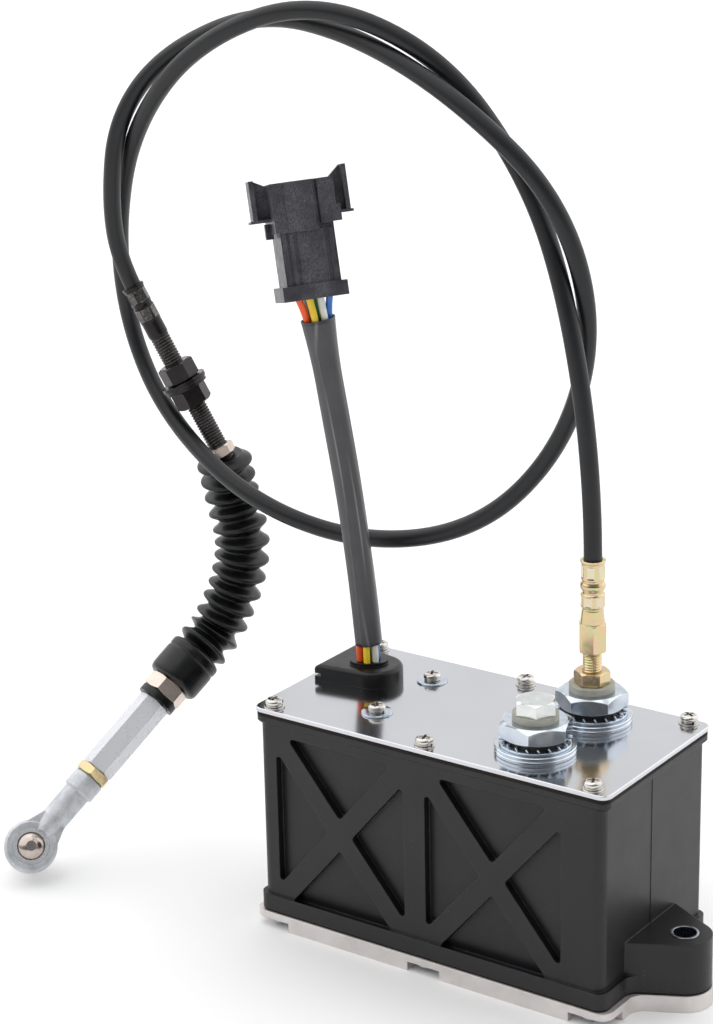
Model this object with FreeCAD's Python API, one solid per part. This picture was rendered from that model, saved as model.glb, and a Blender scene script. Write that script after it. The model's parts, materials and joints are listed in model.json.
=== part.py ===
import FreeCAD, Part
import math
import os

# Engine governor actuator: a geared motor in a ribbed case turns a pinion that
# moves two racks in opposite ways. The rear rack works a push-pull control cable.
# Millimetres. X runs along the case, Y to the back, Z up from the base's underside.

V = FreeCAD.Vector
UP = V(0, 0, 1)

# Case, and how far the base, flanges, gaskets and cover stand out from it along X and Y
case_half_x = 92.5
case_half_y = 47.0
case_corner = 5.0
case_wall = 7.0
case_top = 108.0
cavity_corner = 5.0
mould_line = (-3.0, 0.6, 0.25)
base_margin = (4.5, 2.0)
base_corner = 6.0
base_thick = 8.0
base_ear_margin = 0.8
base_gasket_thick = 1.0
gasket_inset = 0.3
bottom_flange_margin = (2.0, 1.2)
bottom_flange_height = 8.0
top_flange_margin = (2.2, 0.7)
top_flange_height = 4.0
top_flange_bevel = 1.4
cover_gasket_thick = 2.0
plate_margin = (2.5, 1.0)
plate_corner = 5.0
plate_thick = 2.0
plate_edge = 0.4

base_half_x = case_half_x + base_margin[0]
base_half_y = case_half_y + base_margin[1]
bottom_flange_half = (case_half_x + bottom_flange_margin[0], case_half_y + bottom_flange_margin[1])
top_flange_half = (case_half_x + top_flange_margin[0], case_half_y + top_flange_margin[1])
plate_half_x = case_half_x + plate_margin[0]
plate_half_y = case_half_y + plate_margin[1]
case_bottom = base_thick + base_gasket_thick
plate_bottom = case_top + cover_gasket_thick
plate_top = plate_bottom + plate_thick

# Recessed X panels of the front wall
panel_sides = (10.0, 20.5)
panel_gap = 11.5
panel_bottom = case_bottom + 6.4
panel_top = case_top - 8.2
panel_bar = 10.0
panel_depth = 4.0
panel_corner = 1.6

panel_width = (2 * case_half_x - sum(panel_sides) - panel_gap) / 2
panel_left = panel_sides[0] - case_half_x
panel_lefts = (panel_left, panel_left + panel_width + panel_gap)

# Mounting ears: foot on the wall, bush axis and outward direction
ear_top = 33.0
ear_half_root = 23.0
ear_tip_r = 12.5
ear_reach = 17.5
ear_right_y = -3.0
ear_back_x = -50.0
ear_right = {"at": (case_half_x + ear_reach, ear_right_y), "foot": (case_half_x, ear_right_y), "out": (1, 0)}
ear_back = {"at": (ear_back_x, case_half_y + ear_reach), "foot": (ear_back_x, case_half_y), "out": (0, 1)}
ears = (ear_right, ear_back)
ear_fillet = 8.0
ear_root_deep = (12.0, 6.0)
bush_r = 6.4
bush_bore_r = 5.3
bush_gap = 0.02
bush_proud = 0.3

# Cover and base screws
screw_inset = (7.0, 4.0)
screw_x = case_half_x - screw_inset[0]
screw_middle_x = -1.5
screw_y = case_half_y - screw_inset[1]
screw_r = 2.4
screw_hole_gap = 0.02
screw_clear_r = 2.9
screw_head_r = 4.2
screw_head_high = 2.7
screw_cross = (5.2, 1.1, 1.6)
screw_end_gap = 1.0
washer_bore_gap = 0.1
boss_r = 6.5
flat_washer_r = 4.8
flat_washer_thick = 0.8
lock_washer_r = 3.9
lock_washer_thick = 1.1
large_washer_r = 7.4
cover_screw_deep = 14.0
frame_screw_x = -41.3
frame_screw_y = 23.0
base_screw_head_r = 4.4
base_screw_head_high = 2.8
base_screw_deep = 13.0
notch_height = 4.6
notch_deep = 12.0
notch_half = 8.8
corner_notch = (20.0, 14.0)

rim_screws = [(x, y) for y in (-screw_y, screw_y) for x in (-screw_x, screw_middle_x, screw_x)]
frame_screws = [(frame_screw_x, y) for y in (-frame_screw_y, frame_screw_y)]

# Wire grommet and harness
harness_inset = 23.5
harness_x = harness_inset - case_half_x
harness_y = 10.4
grommet_at = (harness_x + 2.8, harness_y + 0.4)
grommet_flat_inset = 5.9
grommet_flat_x = grommet_flat_inset - plate_half_x
grommet_half = 17.0
grommet_r = 13.7
grommet_high = 8.0
grommet_neck_r = 9.7
grommet_flange_r = 13.0
grommet_flange_thick = 2.4
grommet_hole_gap = 0.3
grommet_collar = (9.2, 6.6, 1.5)
grommet_slot = (2.4, 1.5, 3.2)
grommet_crown = 2.2
grommet_collar_turn = 35.0
wire_r = 1.6
wire_circle_r = 4.3
wire_angles = (-125, -65, -5, 55, 115, 175)
wire_gap = 0.12
wire_bottom = 99.0
sleeve_r = 6.8
sleeve_bore_r = 6.25
sleeve_route = [
    (harness_x, harness_y, 130.0),
    (-71.0, 9.0, 160.0),
    (-75.0, 6.0, 205.0),
    (-80.5, 2.0, 250.0),
    (-85.4, -1.3, 289.0),
]
wire_names = ["orange", "yellow", "white", "blue", "black", "grey", "green"]

# Where each lead enters the connector: contact number across, then front or back row
wire_cavities = ((-1.5, -1), (-0.5, -1), (0.5, -1), (1.5, -1), (0.5, 1), (-0.5, 1), (0, 0))

# Harness connector, in its own frame: Z along the contacts, -Y to the front
plug_at = V(-87.0, -3.0, 298.4)
plug_axis = V(-0.2195, 0.1057, 0.9698)
plug_back = V(-0.743, 0.669, 0.0)
plug_flange = (30.0, 25.0, 6.7)
plug_waist = (25.0, 22.0, 31.0)
plug_collar = (29.0, 26.0, 53.4)
plug_collar_step = 2.4
plug_panel = (-8.5, 4.6, 1.0)
plug_slot = (5.6, 6.8, 1.8)
plug_block = (16.4, 7.0, 7.5)
plug_ribs = ((-11.8, -10.2), (-8.6, -7.0), (-5.0, 7.4), (9.6, 11.4))
plug_rib_proud = 0.7
plug_wing_x = 22.6
plug_wing_low = 38.0
plug_wing_thick = 2.2
plug_wing_tops = (56.0, 58.5)
plug_wing_web = (-1.0, 2.0)
plug_wing_wall = (-5.0, 3.0)
plug_wing_lip = 1.2
plug_tab = (2.5, 7.0, -2.0)
plug_mouth = (24.0, 19.0, 38.0)
plug_seal = (21.0, 16.0, 6.4)
wire_end_deep = 4.6
wire_fan = 3.0
pin_width = 1.8
pin_thick = 0.8
pin_pitch = 5.8
pin_row = 4.2
pin_low = 8.0
pin_proud = 7.0

# Cable outlets on the cover
front_outlet = (42.6, -20.1)
rear_outlet = (46.2, 23.0)
outlet_r = 10.0
outlet_gap = 0.02
outlet_clear = 0.4
outlet_bore_r = 6.0
outlet_flange_flats = 22.0
outlet_flange_thick = 5.0
outlet_washer_r = 18.6
outlet_washer_thick = 1.8
outlet_washer_bevel = 0.35
tooth_washer_r = 16.5
tooth_washer_thick = 1.2
tooth_high = 2.4
tooth_count = 20
tooth_wide = 0.9
tooth_inset = (0.1, 0.5)
seal_ring_r = 14.2
outlet_nuts = ((30.0, -69.5), (29.0, -34.0))
outlet_nut_high = 8.0
seal_washer_r = 10.5
seal_washer_thick = 3.0
seal_washer_gap = 0.3
stud_r = 4.5
stud_gap = 0.02
stud_end_gap = 0.5
plug_bolt_flats = 17.3
plug_bolt_turn = -57.0
plug_bolt_head = 6.4
plug_bolt_deep = 11.0
jam_nut_flats = 14.5
jam_nut_turn = -33.9
jam_nut_high = 6.5
outlets = (front_outlet, rear_outlet)

washers_z = plate_top + 2 * outlet_washer_thick
tooth_z = washers_z + tooth_washer_thick
nut_z = tooth_z + tooth_high
nut_top = nut_z + outlet_nut_high
seal_top = nut_top + seal_washer_thick
jam_top = seal_top + jam_nut_high

# Cable fitting over the rear outlet: heights above its jam nut
fitting_stud_high = 9.4
fitting_hex_flats = 12.0
fitting_hex_turn = -53.2
fitting_bore_gap = 0.4
fitting_hex_high = 13.2
fitting_profile = [(5.9, 0.0), (5.0, 7.0), (5.0, 7.6), (5.7, 8.4), (5.7, 14.0), (5.0, 14.8),
                   (5.2, 16.0), (5.9, 17.6), (5.9, 18.8), (5.2, 20.4), (5.5, 21.2), (5.5, 29.0),
                   (5.9, 29.6), (5.9, 30.4)]
conduit_r = 4.25
conduit_gap = 0.05
socket_deep = 6.0

# Control cable's conduit, a route chosen point by point
fitting_top = jam_top + fitting_stud_high + fitting_hex_high + fitting_profile[-1][1]
conduit_start = fitting_top - socket_deep
conduit_route = [
    (rear_outlet[0], rear_outlet[1], conduit_start),
    (rear_outlet[0], rear_outlet[1], 228.0),
    (31.0, 25.0, 308.0),
    (2.0, 37.0, 358.0),
    (-35.0, 26.0, 409.0),
    (-93.0, 10.0, 432.0),
    (-155.7, 5.0, 409.4),
    (-204.6, 15.5, 364.7),
    (-233.2, 33.0, 308.1),
    (-236.0, 42.0, 255.0),
    (-203.9, 31.5, 214.9),
    (-141.5, 15.5, 186.1),
    (-85.0, 32.0, 170.0),
    (-25.0, 41.0, 186.0),
    (18.0, 44.0, 232.0),
    (38.0, 38.0, 291.0),
    (29.0, 22.0, 351.0),
    (-19.0, 16.0, 391.7),
    (-75.2, 19.1, 415.7),
    (-133.1, 24.0, 422.6),
    (-188.5, 21.0, 399.5),
    (-211.2, 11.5, 368.4),
    (-217.0, 10.5, 329.0),
    (-218.9, 17.1, 297.1),
    (-211.3, 21.3, 279.1),
]

# Cable's far end: threaded tube, then rod end, each in a frame along its own axis
tube_at = V(-213.6, 20.0, 284.5)
tube_axis = V(0.381, 0.211, -0.900)
tube_r = 4.9
crimp_length = 27.5
crimp_profile = [(5.6, 0.0), (5.6, 1.0), (5.25, 2.0), (5.25, 9.0), (4.9, 9.6), (4.9, 11.2), (5.25, 11.8),
                 (5.25, 19.0), (5.1, 19.6), (5.1, 27.0), (tube_r, crimp_length)]
tube_floor = 5.0
tube_bore_r = 1.8
tube_length = 99.0
mount_nut_flats = 16.0
mount_nut_high = 9.5
mount_nut_turns = (20.0, 5.0)
mount_washer_step = 0.6
mount_washer_r = 11.5
mount_washer_thick = 2.0
mount_nut_start = 43.5
bellows_nut_start = 90.5
bellows_nut_flats = 12.5
bellows_nut_high = 5.3
bellows_nut_turn = 10.0

eye_at = V(-217.95, -73.0, 18.05)
rod_axis = V(0.2473, 0.7581, 0.6034)
stud_side = V(-0.6387, 0.5958, -0.4867)
eye_r = 13.2
eye_half = 4.5
eye_bevel = 1.3
web_inset = 0.6
web_end = 17.5
seat_r = 8.9
seat_proud = 0.3
ball_r = 8.0
ball_gap = 0.05
ball_flat = 0.4
ball_mouth_r = 6.9
ball_neck_r = 4.0
ball_hex_flats = 13.0
ball_hex_y = (10.5, 14.5)
ball_stud_end = 27.0
neck_r = 6.9
neck_root = (5.4, 8.0)
collar_r = 8.2
collar_start = 35.9
collar_end = 44.8
collar_bevel = 0.8
web_shoulder = 0.3
rod_nut_flats = 16.5
rod_nut_high = 5.0
rod_nut_turn = 25.0
coupler_flats = 14.8
coupler_turn = -4.0
coupler_length = 45.7
coupler_stud_r = 4.0
coupler_stud_deep = 20.0
pin_end_r = 2.9
rod_washer_r = 10.3
rod_washer_thick = 3.7
lock_nut_flats = 19.0
lock_nut_high = 8.7
lock_nut_turn = 12.0
cup_r = 14.0
cup_length = 22.9
cup_wall = 2.6
cup_bore_r = 8.4
cup_joint = 1.5
cup_taper = [(-1.8, 0.0), (-0.4, 1.4), (0.0, 3.0)]
pin_end_gap = 6.0
core_r = 1.5

rod_nut_end = collar_end + rod_nut_high
coupler_end = rod_nut_end + coupler_length
washer_end = coupler_end + rod_washer_thick
lock_nut_end = washer_end + lock_nut_high
cup_end = lock_nut_end + cup_length
pin_end = cup_end - pin_end_gap

# Bellows
bellows_r = 14.0
bellows_root_r = 9.6
bellows_bore_r = 7.6
bellows_ridges = 13
ridge_profile = [(-1.0, 0.47), (3.5, 0.15), (4.4, 0.06)]
bellows_tail = (9.4, 0.4, 3.0)
bellows_bends = [(-182.3, 36.4, 105.1), (-174.6, 44.5, 128.3), (-171.0, 47.3, 151.3),
                 (-176.5, 45.0, 178.0)]

# Gear train: motor, idler and output pinion; both gear stages have the same teeth
shaft_z = 53.0
gear_module = 0.8
pinion_teeth = 12
wheel_teeth = 50
idler_z = shaft_z + gear_module * (pinion_teeth + wheel_teeth) / 2
rack_module = 1.0
rack_pinion_teeth = 30
rack_travel = 28.0
rack_width = 9.0
rack_back = 25.4
rack_rod_r = 2.0
rack_rod_length = 50.0
guide_thick = 5.2
guide_lip_y = 17.0
rack_length = 54.0
rack_low = 12.0
rack_pinion_x = (front_outlet[0] - rack_width / 2 - 0.7, rear_outlet[0] + rack_width / 2 + 0.7)
rack_gap = 0.3
tooth_share = 0.44
frame_top = plate_bottom
frame_thick = 5.0
frame_x = (-52.0, 66.0)
frame_side_gap = 2.5
frame_half_y = screw_y - boss_r - frame_side_gap
web_thick = 5.0
motor_web_half = 24.0
gear_web_step = 3.0
gear_web_half = frame_half_y - gear_web_step
guide_step = 3.0
outlet_pocket_gap = 0.5
motor_web_x = -24.0
near_web_x = 27.0
far_web_x = 57.0
web_bottom = 24.0
motor_r = 18.0
motor_end_gap = 3.5
motor_wall = 1.5
motor_cap_thick = 4.0
motor_face_thick = 3.0
motor_boss_r = 7.0
motor_screw_y = 12.0
motor_screw_r = 1.85
motor_screw_head = (3.2, 2.4)
motor_screw_gap = 0.05
motor_screw_clear = 0.25
motor_screw_end_gap = 0.2
motor_tab = (9.0, 4.8, 0.8, 4.0)
motor_length = case_half_x - case_wall + motor_web_x - motor_end_gap - motor_tab[3] - motor_cap_thick
armature_ends = (12.0, 10.0)
armature_gap = 2.0
armature_slots = 5
armature_slot = (2.4, 8.0)
commutator = (5.5, 3.0, 9.0)
output_shaft_r = 4.0
idler_shaft_r = 3.0
motor_shaft_r = 2.5
shaft_bush_wall = 2.0
fit_gap = 0.05
wheel_half = 3.5
first_wheel_x = -11.5
second_wheel_x = 21.0
sensor_r = 12.0
sensor_length = 13.0
sensor_plug = (2.0, 8.0, 4.0)
sensor_bore_deep = 10.0
output_shaft_out = 9.0
hub_proud = 1.0
shaft_end_gap = 0.5
press_gap = 0.01


def unit(v):
    return v.multiply(1.0 / v.Length)


def box(x0, x1, y0, y1, z0, z1):
    return Part.makeBox(x1 - x0, y1 - y0, z1 - z0, V(x0, y0, z0))


def rod(r, z0, z1, x=0.0, y=0.0):
    return Part.makeCylinder(r, z1 - z0, V(x, y, z0))


def rod_x(r, x0, x1, y=0.0, z=0.0):
    return Part.makeCylinder(r, x1 - x0, V(x0, y, z), V(1, 0, 0))


def ring(r_out, r_in, z0, z1, x=0.0, y=0.0):
    return rod(r_out, z0, z1, x, y).cut(rod(r_in, z0, z1, x, y))


def prism(points, z0, z1):
    wire = Part.makePolygon([V(x, y, z0) for x, y in points + points[:1]])
    return Part.Face(wire).extrude(V(0, 0, z1 - z0))


def spun(profile, closed=True):
    """Solid of revolution about Z of (radius, height) points, closed along the axis."""
    points = list(profile)
    if closed:
        points = [(0.0, profile[0][1])] + points + [(0.0, profile[-1][1])]
    wire = Part.makePolygon([V(r, 0, z) for r, z in points + points[:1]])
    return Part.Face(wire).revolve(V(0, 0, 0), UP, 360)


def hexagon(flats, z0, z1, x=0.0, y=0.0, turn=0.0):
    r = flats / math.sqrt(3)
    angles = [math.radians(turn + 60 * k) for k in range(6)]
    return prism([(x + r * math.cos(a), y + r * math.sin(a)) for a in angles], z0, z1)


def hex_nut(flats, z0, z1, x=0.0, y=0.0, turn=0.0, bore=0.0, ends=(True, True)):
    """Hexagon whose corners are turned off at the chosen ends."""
    corner = flats / math.sqrt(3)
    face_r = flats * 0.475
    drop = (corner - face_r) * math.tan(math.radians(30))
    profile = [(face_r if ends[0] else corner + 0.1, z0)]
    if ends[0]:
        profile.append((corner + 0.1, z0 + drop))
    if ends[1]:
        profile.append((corner + 0.1, z1 - drop))
    profile.append((face_r if ends[1] else corner + 0.1, z1))
    cone = spun(profile)
    cone.translate(V(x, y, 0))
    nut = hexagon(flats, z0, z1, x, y, turn).common(cone)
    if bore:
        nut = nut.cut(rod(bore, z0, z1, x, y))
    return nut


def slab(half_x, half_y, corner, z0, z1):
    """Block with rounded upright edges."""
    block = box(-half_x, half_x, -half_y, half_y, z0, z1)
    upright = [e for e in block.Edges if abs(e.tangentAt(e.FirstParameter).z) > 0.99]
    return block.makeFillet(corner, upright)


def tangent_point(p, c, r, side):
    """Point where the line from p touches the circle round c on the given side."""
    d = math.hypot(p[0] - c[0], p[1] - c[1])
    angle = math.atan2(p[1] - c[1], p[0] - c[0]) + side * math.acos(r / d)
    return (c[0] + r * math.cos(angle), c[1] + r * math.sin(angle))


def ear_solid(ear, grow, inset, z0, z1):
    """Ear from inside the wall to its rounded tip."""
    fx, fy = ear["foot"]
    ox, oy = ear["out"]
    tip = ear_tip_r + grow
    half = ear_half_root + grow
    feet = [(fx - oy * half * s, fy + ox * half * s) for s in (1, -1)]
    inner = [(x - ox * inset, y - oy * inset) for x, y in feet]
    touch = [tangent_point(feet[0], ear["at"], tip, -1), tangent_point(feet[1], ear["at"], tip, 1)]
    plan = [inner[0], feet[0], touch[0], touch[1], feet[1], inner[1]]
    return prism(plan, z0, z1).fuse(rod(tip, z0, z1, *ear["at"]))


def footprint(half_x, half_y, corner, grow, z0, z1):
    """Outline shared by the base, its gasket and the case's bottom flange."""
    solid = slab(half_x, half_y, corner, z0, z1)
    for ear in ears:
        solid = solid.fuse(ear_solid(ear, grow, ear_root_deep[0], z0, z1))
    solid = solid.removeSplitter()
    blends = []
    for edge in solid.Edges:
        if abs(edge.tangentAt(edge.FirstParameter).z) < 0.99:
            continue
        p = edge.Vertexes[0].Point
        reach = ear_half_root + ear_fillet + 1
        at_right = abs(p.x - half_x) < 0.01 and abs(p.y - ear_right["foot"][1]) < reach
        at_back = abs(p.y - half_y) < 0.01 and abs(p.x - ear_back["foot"][0]) < reach
        if (at_right and abs(p.y) < half_y - corner - 1) or at_back:
            blends.append(edge)
    return solid.makeFillet(ear_fillet, blends)


def at_each(points, make):
    return [make(x, y) for x, y in points]


def cut_all(shape, tools):
    for tool in tools:
        shape = shape.cut(tool)
    return shape


def fuse_all(shapes):
    joined = shapes[0]
    for shape in shapes[1:]:
        joined = joined.fuse(shape)
    return joined


def cavity(z0, z1):
    """Inside of the case, with its screw bosses left standing."""
    inner = slab(case_half_x - case_wall, case_half_y - case_wall, cavity_corner, z0, z1)
    return cut_all(inner, at_each(rim_screws, lambda x, y: rod(boss_r, z0, z1, x, y)))


def frame_of(at, axis, side=None):
    """Placement that carries local Z to axis and, when given, local Y towards side."""
    z = unit(V(axis))
    if side is None:
        return FreeCAD.Placement(at, FreeCAD.Rotation(UP, z))
    x = unit(V(side).cross(z))
    y = z.cross(x)
    return FreeCAD.Placement(at, FreeCAD.Rotation(x, y, z, "ZXY"))


def placed(shapes, placement):
    moved = [s.copy() for s in shapes]
    for s in moved:
        s.Placement = placement.multiply(s.Placement)
    return moved


def save(name, shapes):
    """One STEP file for each piece or group of like pieces."""
    solids = [s for shape in shapes for s in shape.Solids]
    for s in solids:
        if not s.isValid():
            print("invalid solid in", name)
    shape = solids[0] if len(solids) == 1 else Part.makeCompound(solids)
    shape.exportStep("parts/" + name + ".step")
    print(name, len(solids), round(sum(s.Volume for s in solids)))


def cord_line(points, name=None):
    """Straight runs joined by tangent arcs, each as large as its two runs allow."""
    pts = [V(*p) for p in points]
    edges = []
    radii = []
    here = pts[0]
    for a, b, c in zip(pts, pts[1:], pts[2:]):
        back = a.sub(b)
        ahead = c.sub(b)
        turn = math.pi - back.getAngle(ahead)
        cut = 0.45 * min(back.Length, ahead.Length)
        radius = cut / math.tan(turn / 2)
        p = b.add(unit(back).multiply(cut))
        q = b.add(unit(ahead).multiply(cut))
        middle = unit(unit(back).add(unit(ahead)))
        centre = b.add(V(middle).multiply(radius / math.cos(turn / 2)))
        crown = centre.sub(V(middle).multiply(radius))
        edges.append(Part.makeLine(here, p))
        edges.append(Part.Arc(p, crown, q).toShape())
        radii.append(round(radius))
        here = q
    edges.append(Part.makeLine(here, pts[-1]))
    if name:
        print(name, "radii", radii)
    return Part.Wire(edges)


def cord_tube(line, r, bore=0.0):
    """Tube along a line, solid or with a bore."""
    start = line.Edges[0]
    heading = start.tangentAt(start.FirstParameter)
    tubes = []
    for radius in (r, bore):
        if radius:
            loop = Part.Wire(Part.makeCircle(radius, start.valueAt(start.FirstParameter), heading))
            tubes.append(line.makePipeShell([loop], True, False))
    return tubes[0].cut(tubes[1]) if bore else tubes[0]


def gear(teeth, module, x0, x1, z, turn=0.0, bore=0.0):
    """Spur gear about the X axis at height z, one tooth pointing to +Z plus turn degrees."""
    pitch = module * teeth / 2
    tip = pitch + 0.85 * module
    root = pitch - 1.15 * module
    half = tooth_share * math.pi * module / 2
    tip_half = half - 0.85 * module * math.tan(math.radians(21))
    root_half = half + 1.15 * module * math.tan(math.radians(14))
    points = []
    for k in range(teeth):
        a = math.radians(90 + turn + 360.0 * k / teeth)
        for r, h in ((root, -root_half), (tip, -tip_half), (tip, tip_half), (root, root_half)):
            c = a + h / r
            points.append(V(x0, r * math.cos(c), z + r * math.sin(c)))
    face = Part.Face(Part.makePolygon(points + points[:1]))
    solid = face.extrude(V(x1 - x0, 0, 0))
    return solid.cut(rod_x(bore, x0, x1, 0, z)) if bore else solid


def base_plate():
    solid = footprint(base_half_x, base_half_y, base_corner, base_ear_margin, 0.0, base_thick)
    notches = []
    for side in (-1, 1):
        edge = side * (base_half_y + 1)
        y0, y1 = sorted((edge, side * (base_half_y - notch_deep)))
        notches.append(box(-notch_half, notch_half, y0, y1, 0, notch_height))
        y0, y1 = sorted((edge, side * (base_half_y - corner_notch[1])))
        for end in (-1, 1):
            x0, x1 = sorted((end * (base_half_x - corner_notch[0]), end * (base_half_x + 1)))
            notches.append(box(x0, x1, y0, y1, 0, notch_height))
    solid = cut_all(solid, notches)
    solid = cut_all(solid, at_each(rim_screws, lambda x, y: rod(screw_clear_r, 0, base_thick, x, y)))
    holes = [rod(bush_bore_r, 0, base_thick, *ear["at"]) for ear in ears]
    save("base_plate", [cut_all(solid, holes)])


def base_gasket():
    z0, z1 = base_thick, case_bottom
    half_x, half_y = [half - gasket_inset for half in bottom_flange_half]
    solid = footprint(half_x, half_y, case_corner, 0.0, z0, z1)
    solid = solid.cut(cavity(z0, z1))
    holes = at_each(rim_screws, lambda x, y: rod(screw_clear_r, z0, z1, x, y))
    holes += [rod(bush_bore_r, z0, z1, *ear["at"]) for ear in ears]
    save("base_gasket", [cut_all(solid, holes)])


def cross_recess(z0, z1):
    """Two crossed slots of a screw head's recess."""
    long, wide, _ = screw_cross
    slot = box(-long / 2, long / 2, -wide / 2, wide / 2, z0, z1)
    turned = slot.copy()
    turned.rotate(V(0, 0, 0), UP, 90)
    return [slot, turned]


def base_screws():
    ceiling = notch_height
    head = spun([(base_screw_head_r * 0.7, ceiling - base_screw_head_high),
                 (base_screw_head_r, ceiling - base_screw_head_high * 0.55), (base_screw_head_r, ceiling)])
    low = ceiling - base_screw_head_high
    screw = head.fuse(rod(screw_r, ceiling, case_bottom + base_screw_deep))
    screw = cut_all(screw, cross_recess(low, low + screw_cross[2]))
    group = []
    for x, y in rim_screws:
        one = screw.copy()
        one.translate(V(x, y, 0))
        group.append(one)
    save("base_screws", group)


def panel_pockets(left):
    """Four triangles left between the bars of one X panel."""
    right = left + panel_width
    cx, cz = (left + right) / 2, (panel_bottom + panel_top) / 2
    w, h = panel_width / 2, (panel_top - panel_bottom) / 2
    long = math.hypot(w, h)
    side = panel_bar / 2 * long / h
    rise = panel_bar / 2 * long / w
    plans = [
        [(cx - side, cz), (left, cz - h + rise), (left, cz + h - rise)],
        [(cx + side, cz), (right, cz + h - rise), (right, cz - h + rise)],
        [(cx, cz + rise), (cx - w + side, panel_top), (cx + w - side, panel_top)],
        [(cx, cz - rise), (cx + w - side, panel_bottom), (cx - w + side, panel_bottom)],
    ]
    front = -case_half_y
    pockets = []
    for plan in plans:
        wire = Part.makePolygon([V(x, front - 1, z) for x, z in plan + plan[:1]])
        pocket = Part.Face(wire).extrude(V(0, panel_depth + 1, 0))
        if pocket.Volume < 0:
            pocket = pocket.reversed()
        sides = [e for e in pocket.Edges if abs(e.tangentAt(e.FirstParameter).y) > 0.99]
        pockets.append(pocket.makeFillet(panel_corner, sides))
    return pockets


def case_body():
    walls = slab(case_half_x, case_half_y, case_corner, case_bottom, case_top)
    foot = footprint(*bottom_flange_half, case_corner, 0.0, case_bottom, case_bottom + bottom_flange_height)
    lip = slab(*top_flange_half, case_corner, case_top - top_flange_height, case_top)
    under = [e for e in lip.Edges if abs(e.BoundBox.ZMax - (case_top - top_flange_height)) < 0.01]
    lip = lip.makeChamfer(top_flange_bevel, under)
    deep = ear_root_deep[1]
    solid = fuse_all([walls, foot, lip] + [ear_solid(ear, 0.0, deep, case_bottom, ear_top) for ear in ears])
    y, wide, proud = mould_line
    solid = solid.fuse(box(case_half_x - 1.0, case_half_x + proud, y - wide / 2, y + wide / 2,
                           ear_top - 1.0, case_top - top_flange_height))
    solid = solid.cut(cavity(case_bottom, case_top))
    for left in panel_lefts:
        solid = cut_all(solid, panel_pockets(left))
    hole = screw_r + screw_hole_gap
    low_end = case_bottom + base_screw_deep + screw_end_gap
    holes = at_each(rim_screws, lambda x, y: rod(hole, case_bottom, low_end, x, y))
    holes += at_each(rim_screws, lambda x, y: rod(hole, case_top - cover_screw_deep, case_top, x, y))
    holes += [rod(bush_r + bush_gap, case_bottom, ear_top, *ear["at"]) for ear in ears]
    save("case_body", [cut_all(solid, holes).removeSplitter()])


def ear_bushes():
    save("ear_bushes", [ring(bush_r, bush_bore_r, case_bottom, ear_top + bush_proud, *ear["at"]) for ear in ears])


def cover_gasket():
    half_x, half_y = plate_half_x - gasket_inset, plate_half_y - gasket_inset
    solid = slab(half_x, half_y, plate_corner, case_top, plate_bottom)
    solid = solid.cut(cavity(case_top, plate_bottom))
    holes = at_each(rim_screws, lambda x, y: rod(screw_clear_r, case_top, plate_bottom, x, y))
    save("cover_gasket", [cut_all(solid, holes)])


def cover_plate():
    solid = slab(plate_half_x, plate_half_y, plate_corner, plate_bottom, plate_top)
    rim = [e for e in solid.Edges if abs(e.BoundBox.ZMin - plate_top) < 0.01]
    solid = solid.makeChamfer(plate_edge, rim)
    spots = rim_screws + frame_screws
    holes = at_each(spots, lambda x, y: rod(screw_clear_r, plate_bottom, plate_top, x, y))
    holes += at_each(outlets, lambda x, y: rod(outlet_r + outlet_clear, plate_bottom, plate_top, x, y))
    holes.append(rod(grommet_neck_r + grommet_hole_gap, plate_bottom, plate_top, harness_x, harness_y))
    save("cover_plate", [cut_all(solid, holes)])


def screw_heads():
    """Cover screws with their washers, the two frame screws among them."""
    spots = rim_screws + frame_screws
    z1 = plate_top + flat_washer_thick
    z2 = z1 + lock_washer_thick
    top = z2 + screw_head_high
    head = spun([(screw_head_r, z2), (screw_head_r, z2 + screw_head_high * 0.55),
                 (screw_head_r * 0.82, top - 0.45), (screw_head_r * 0.45, top)])
    screw = head.fuse(rod(screw_r, case_top - cover_screw_deep + screw_end_gap, z2))
    screw = cut_all(screw, cross_recess(top - screw_cross[2], top))
    screws = []
    for x, y in spots:
        one = screw.copy()
        one.translate(V(x, y, 0))
        screws.append(one)
    save("cover_screws", screws)
    bore = screw_r + washer_bore_gap
    save("screw_lock_washers", at_each(spots, lambda x, y: ring(lock_washer_r, bore, z1, z2, x, y)))
    flats = at_each(rim_screws, lambda x, y: ring(flat_washer_r, bore, plate_top, z1, x, y))
    save("screw_flat_washers", flats)
    large = at_each(frame_screws, lambda x, y: ring(large_washer_r, bore, plate_top, z1, x, y))
    save("frame_screw_washers", large)


def wire_offsets():
    """Six leads in a ring and the seventh in the middle, in the order of their names."""
    offsets = []
    for angle in wire_angles:
        a = math.radians(angle)
        offsets.append(V(wire_circle_r * math.cos(a), wire_circle_r * math.sin(a), 0))
    return offsets + [V(0, 0, 0)]


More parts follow.
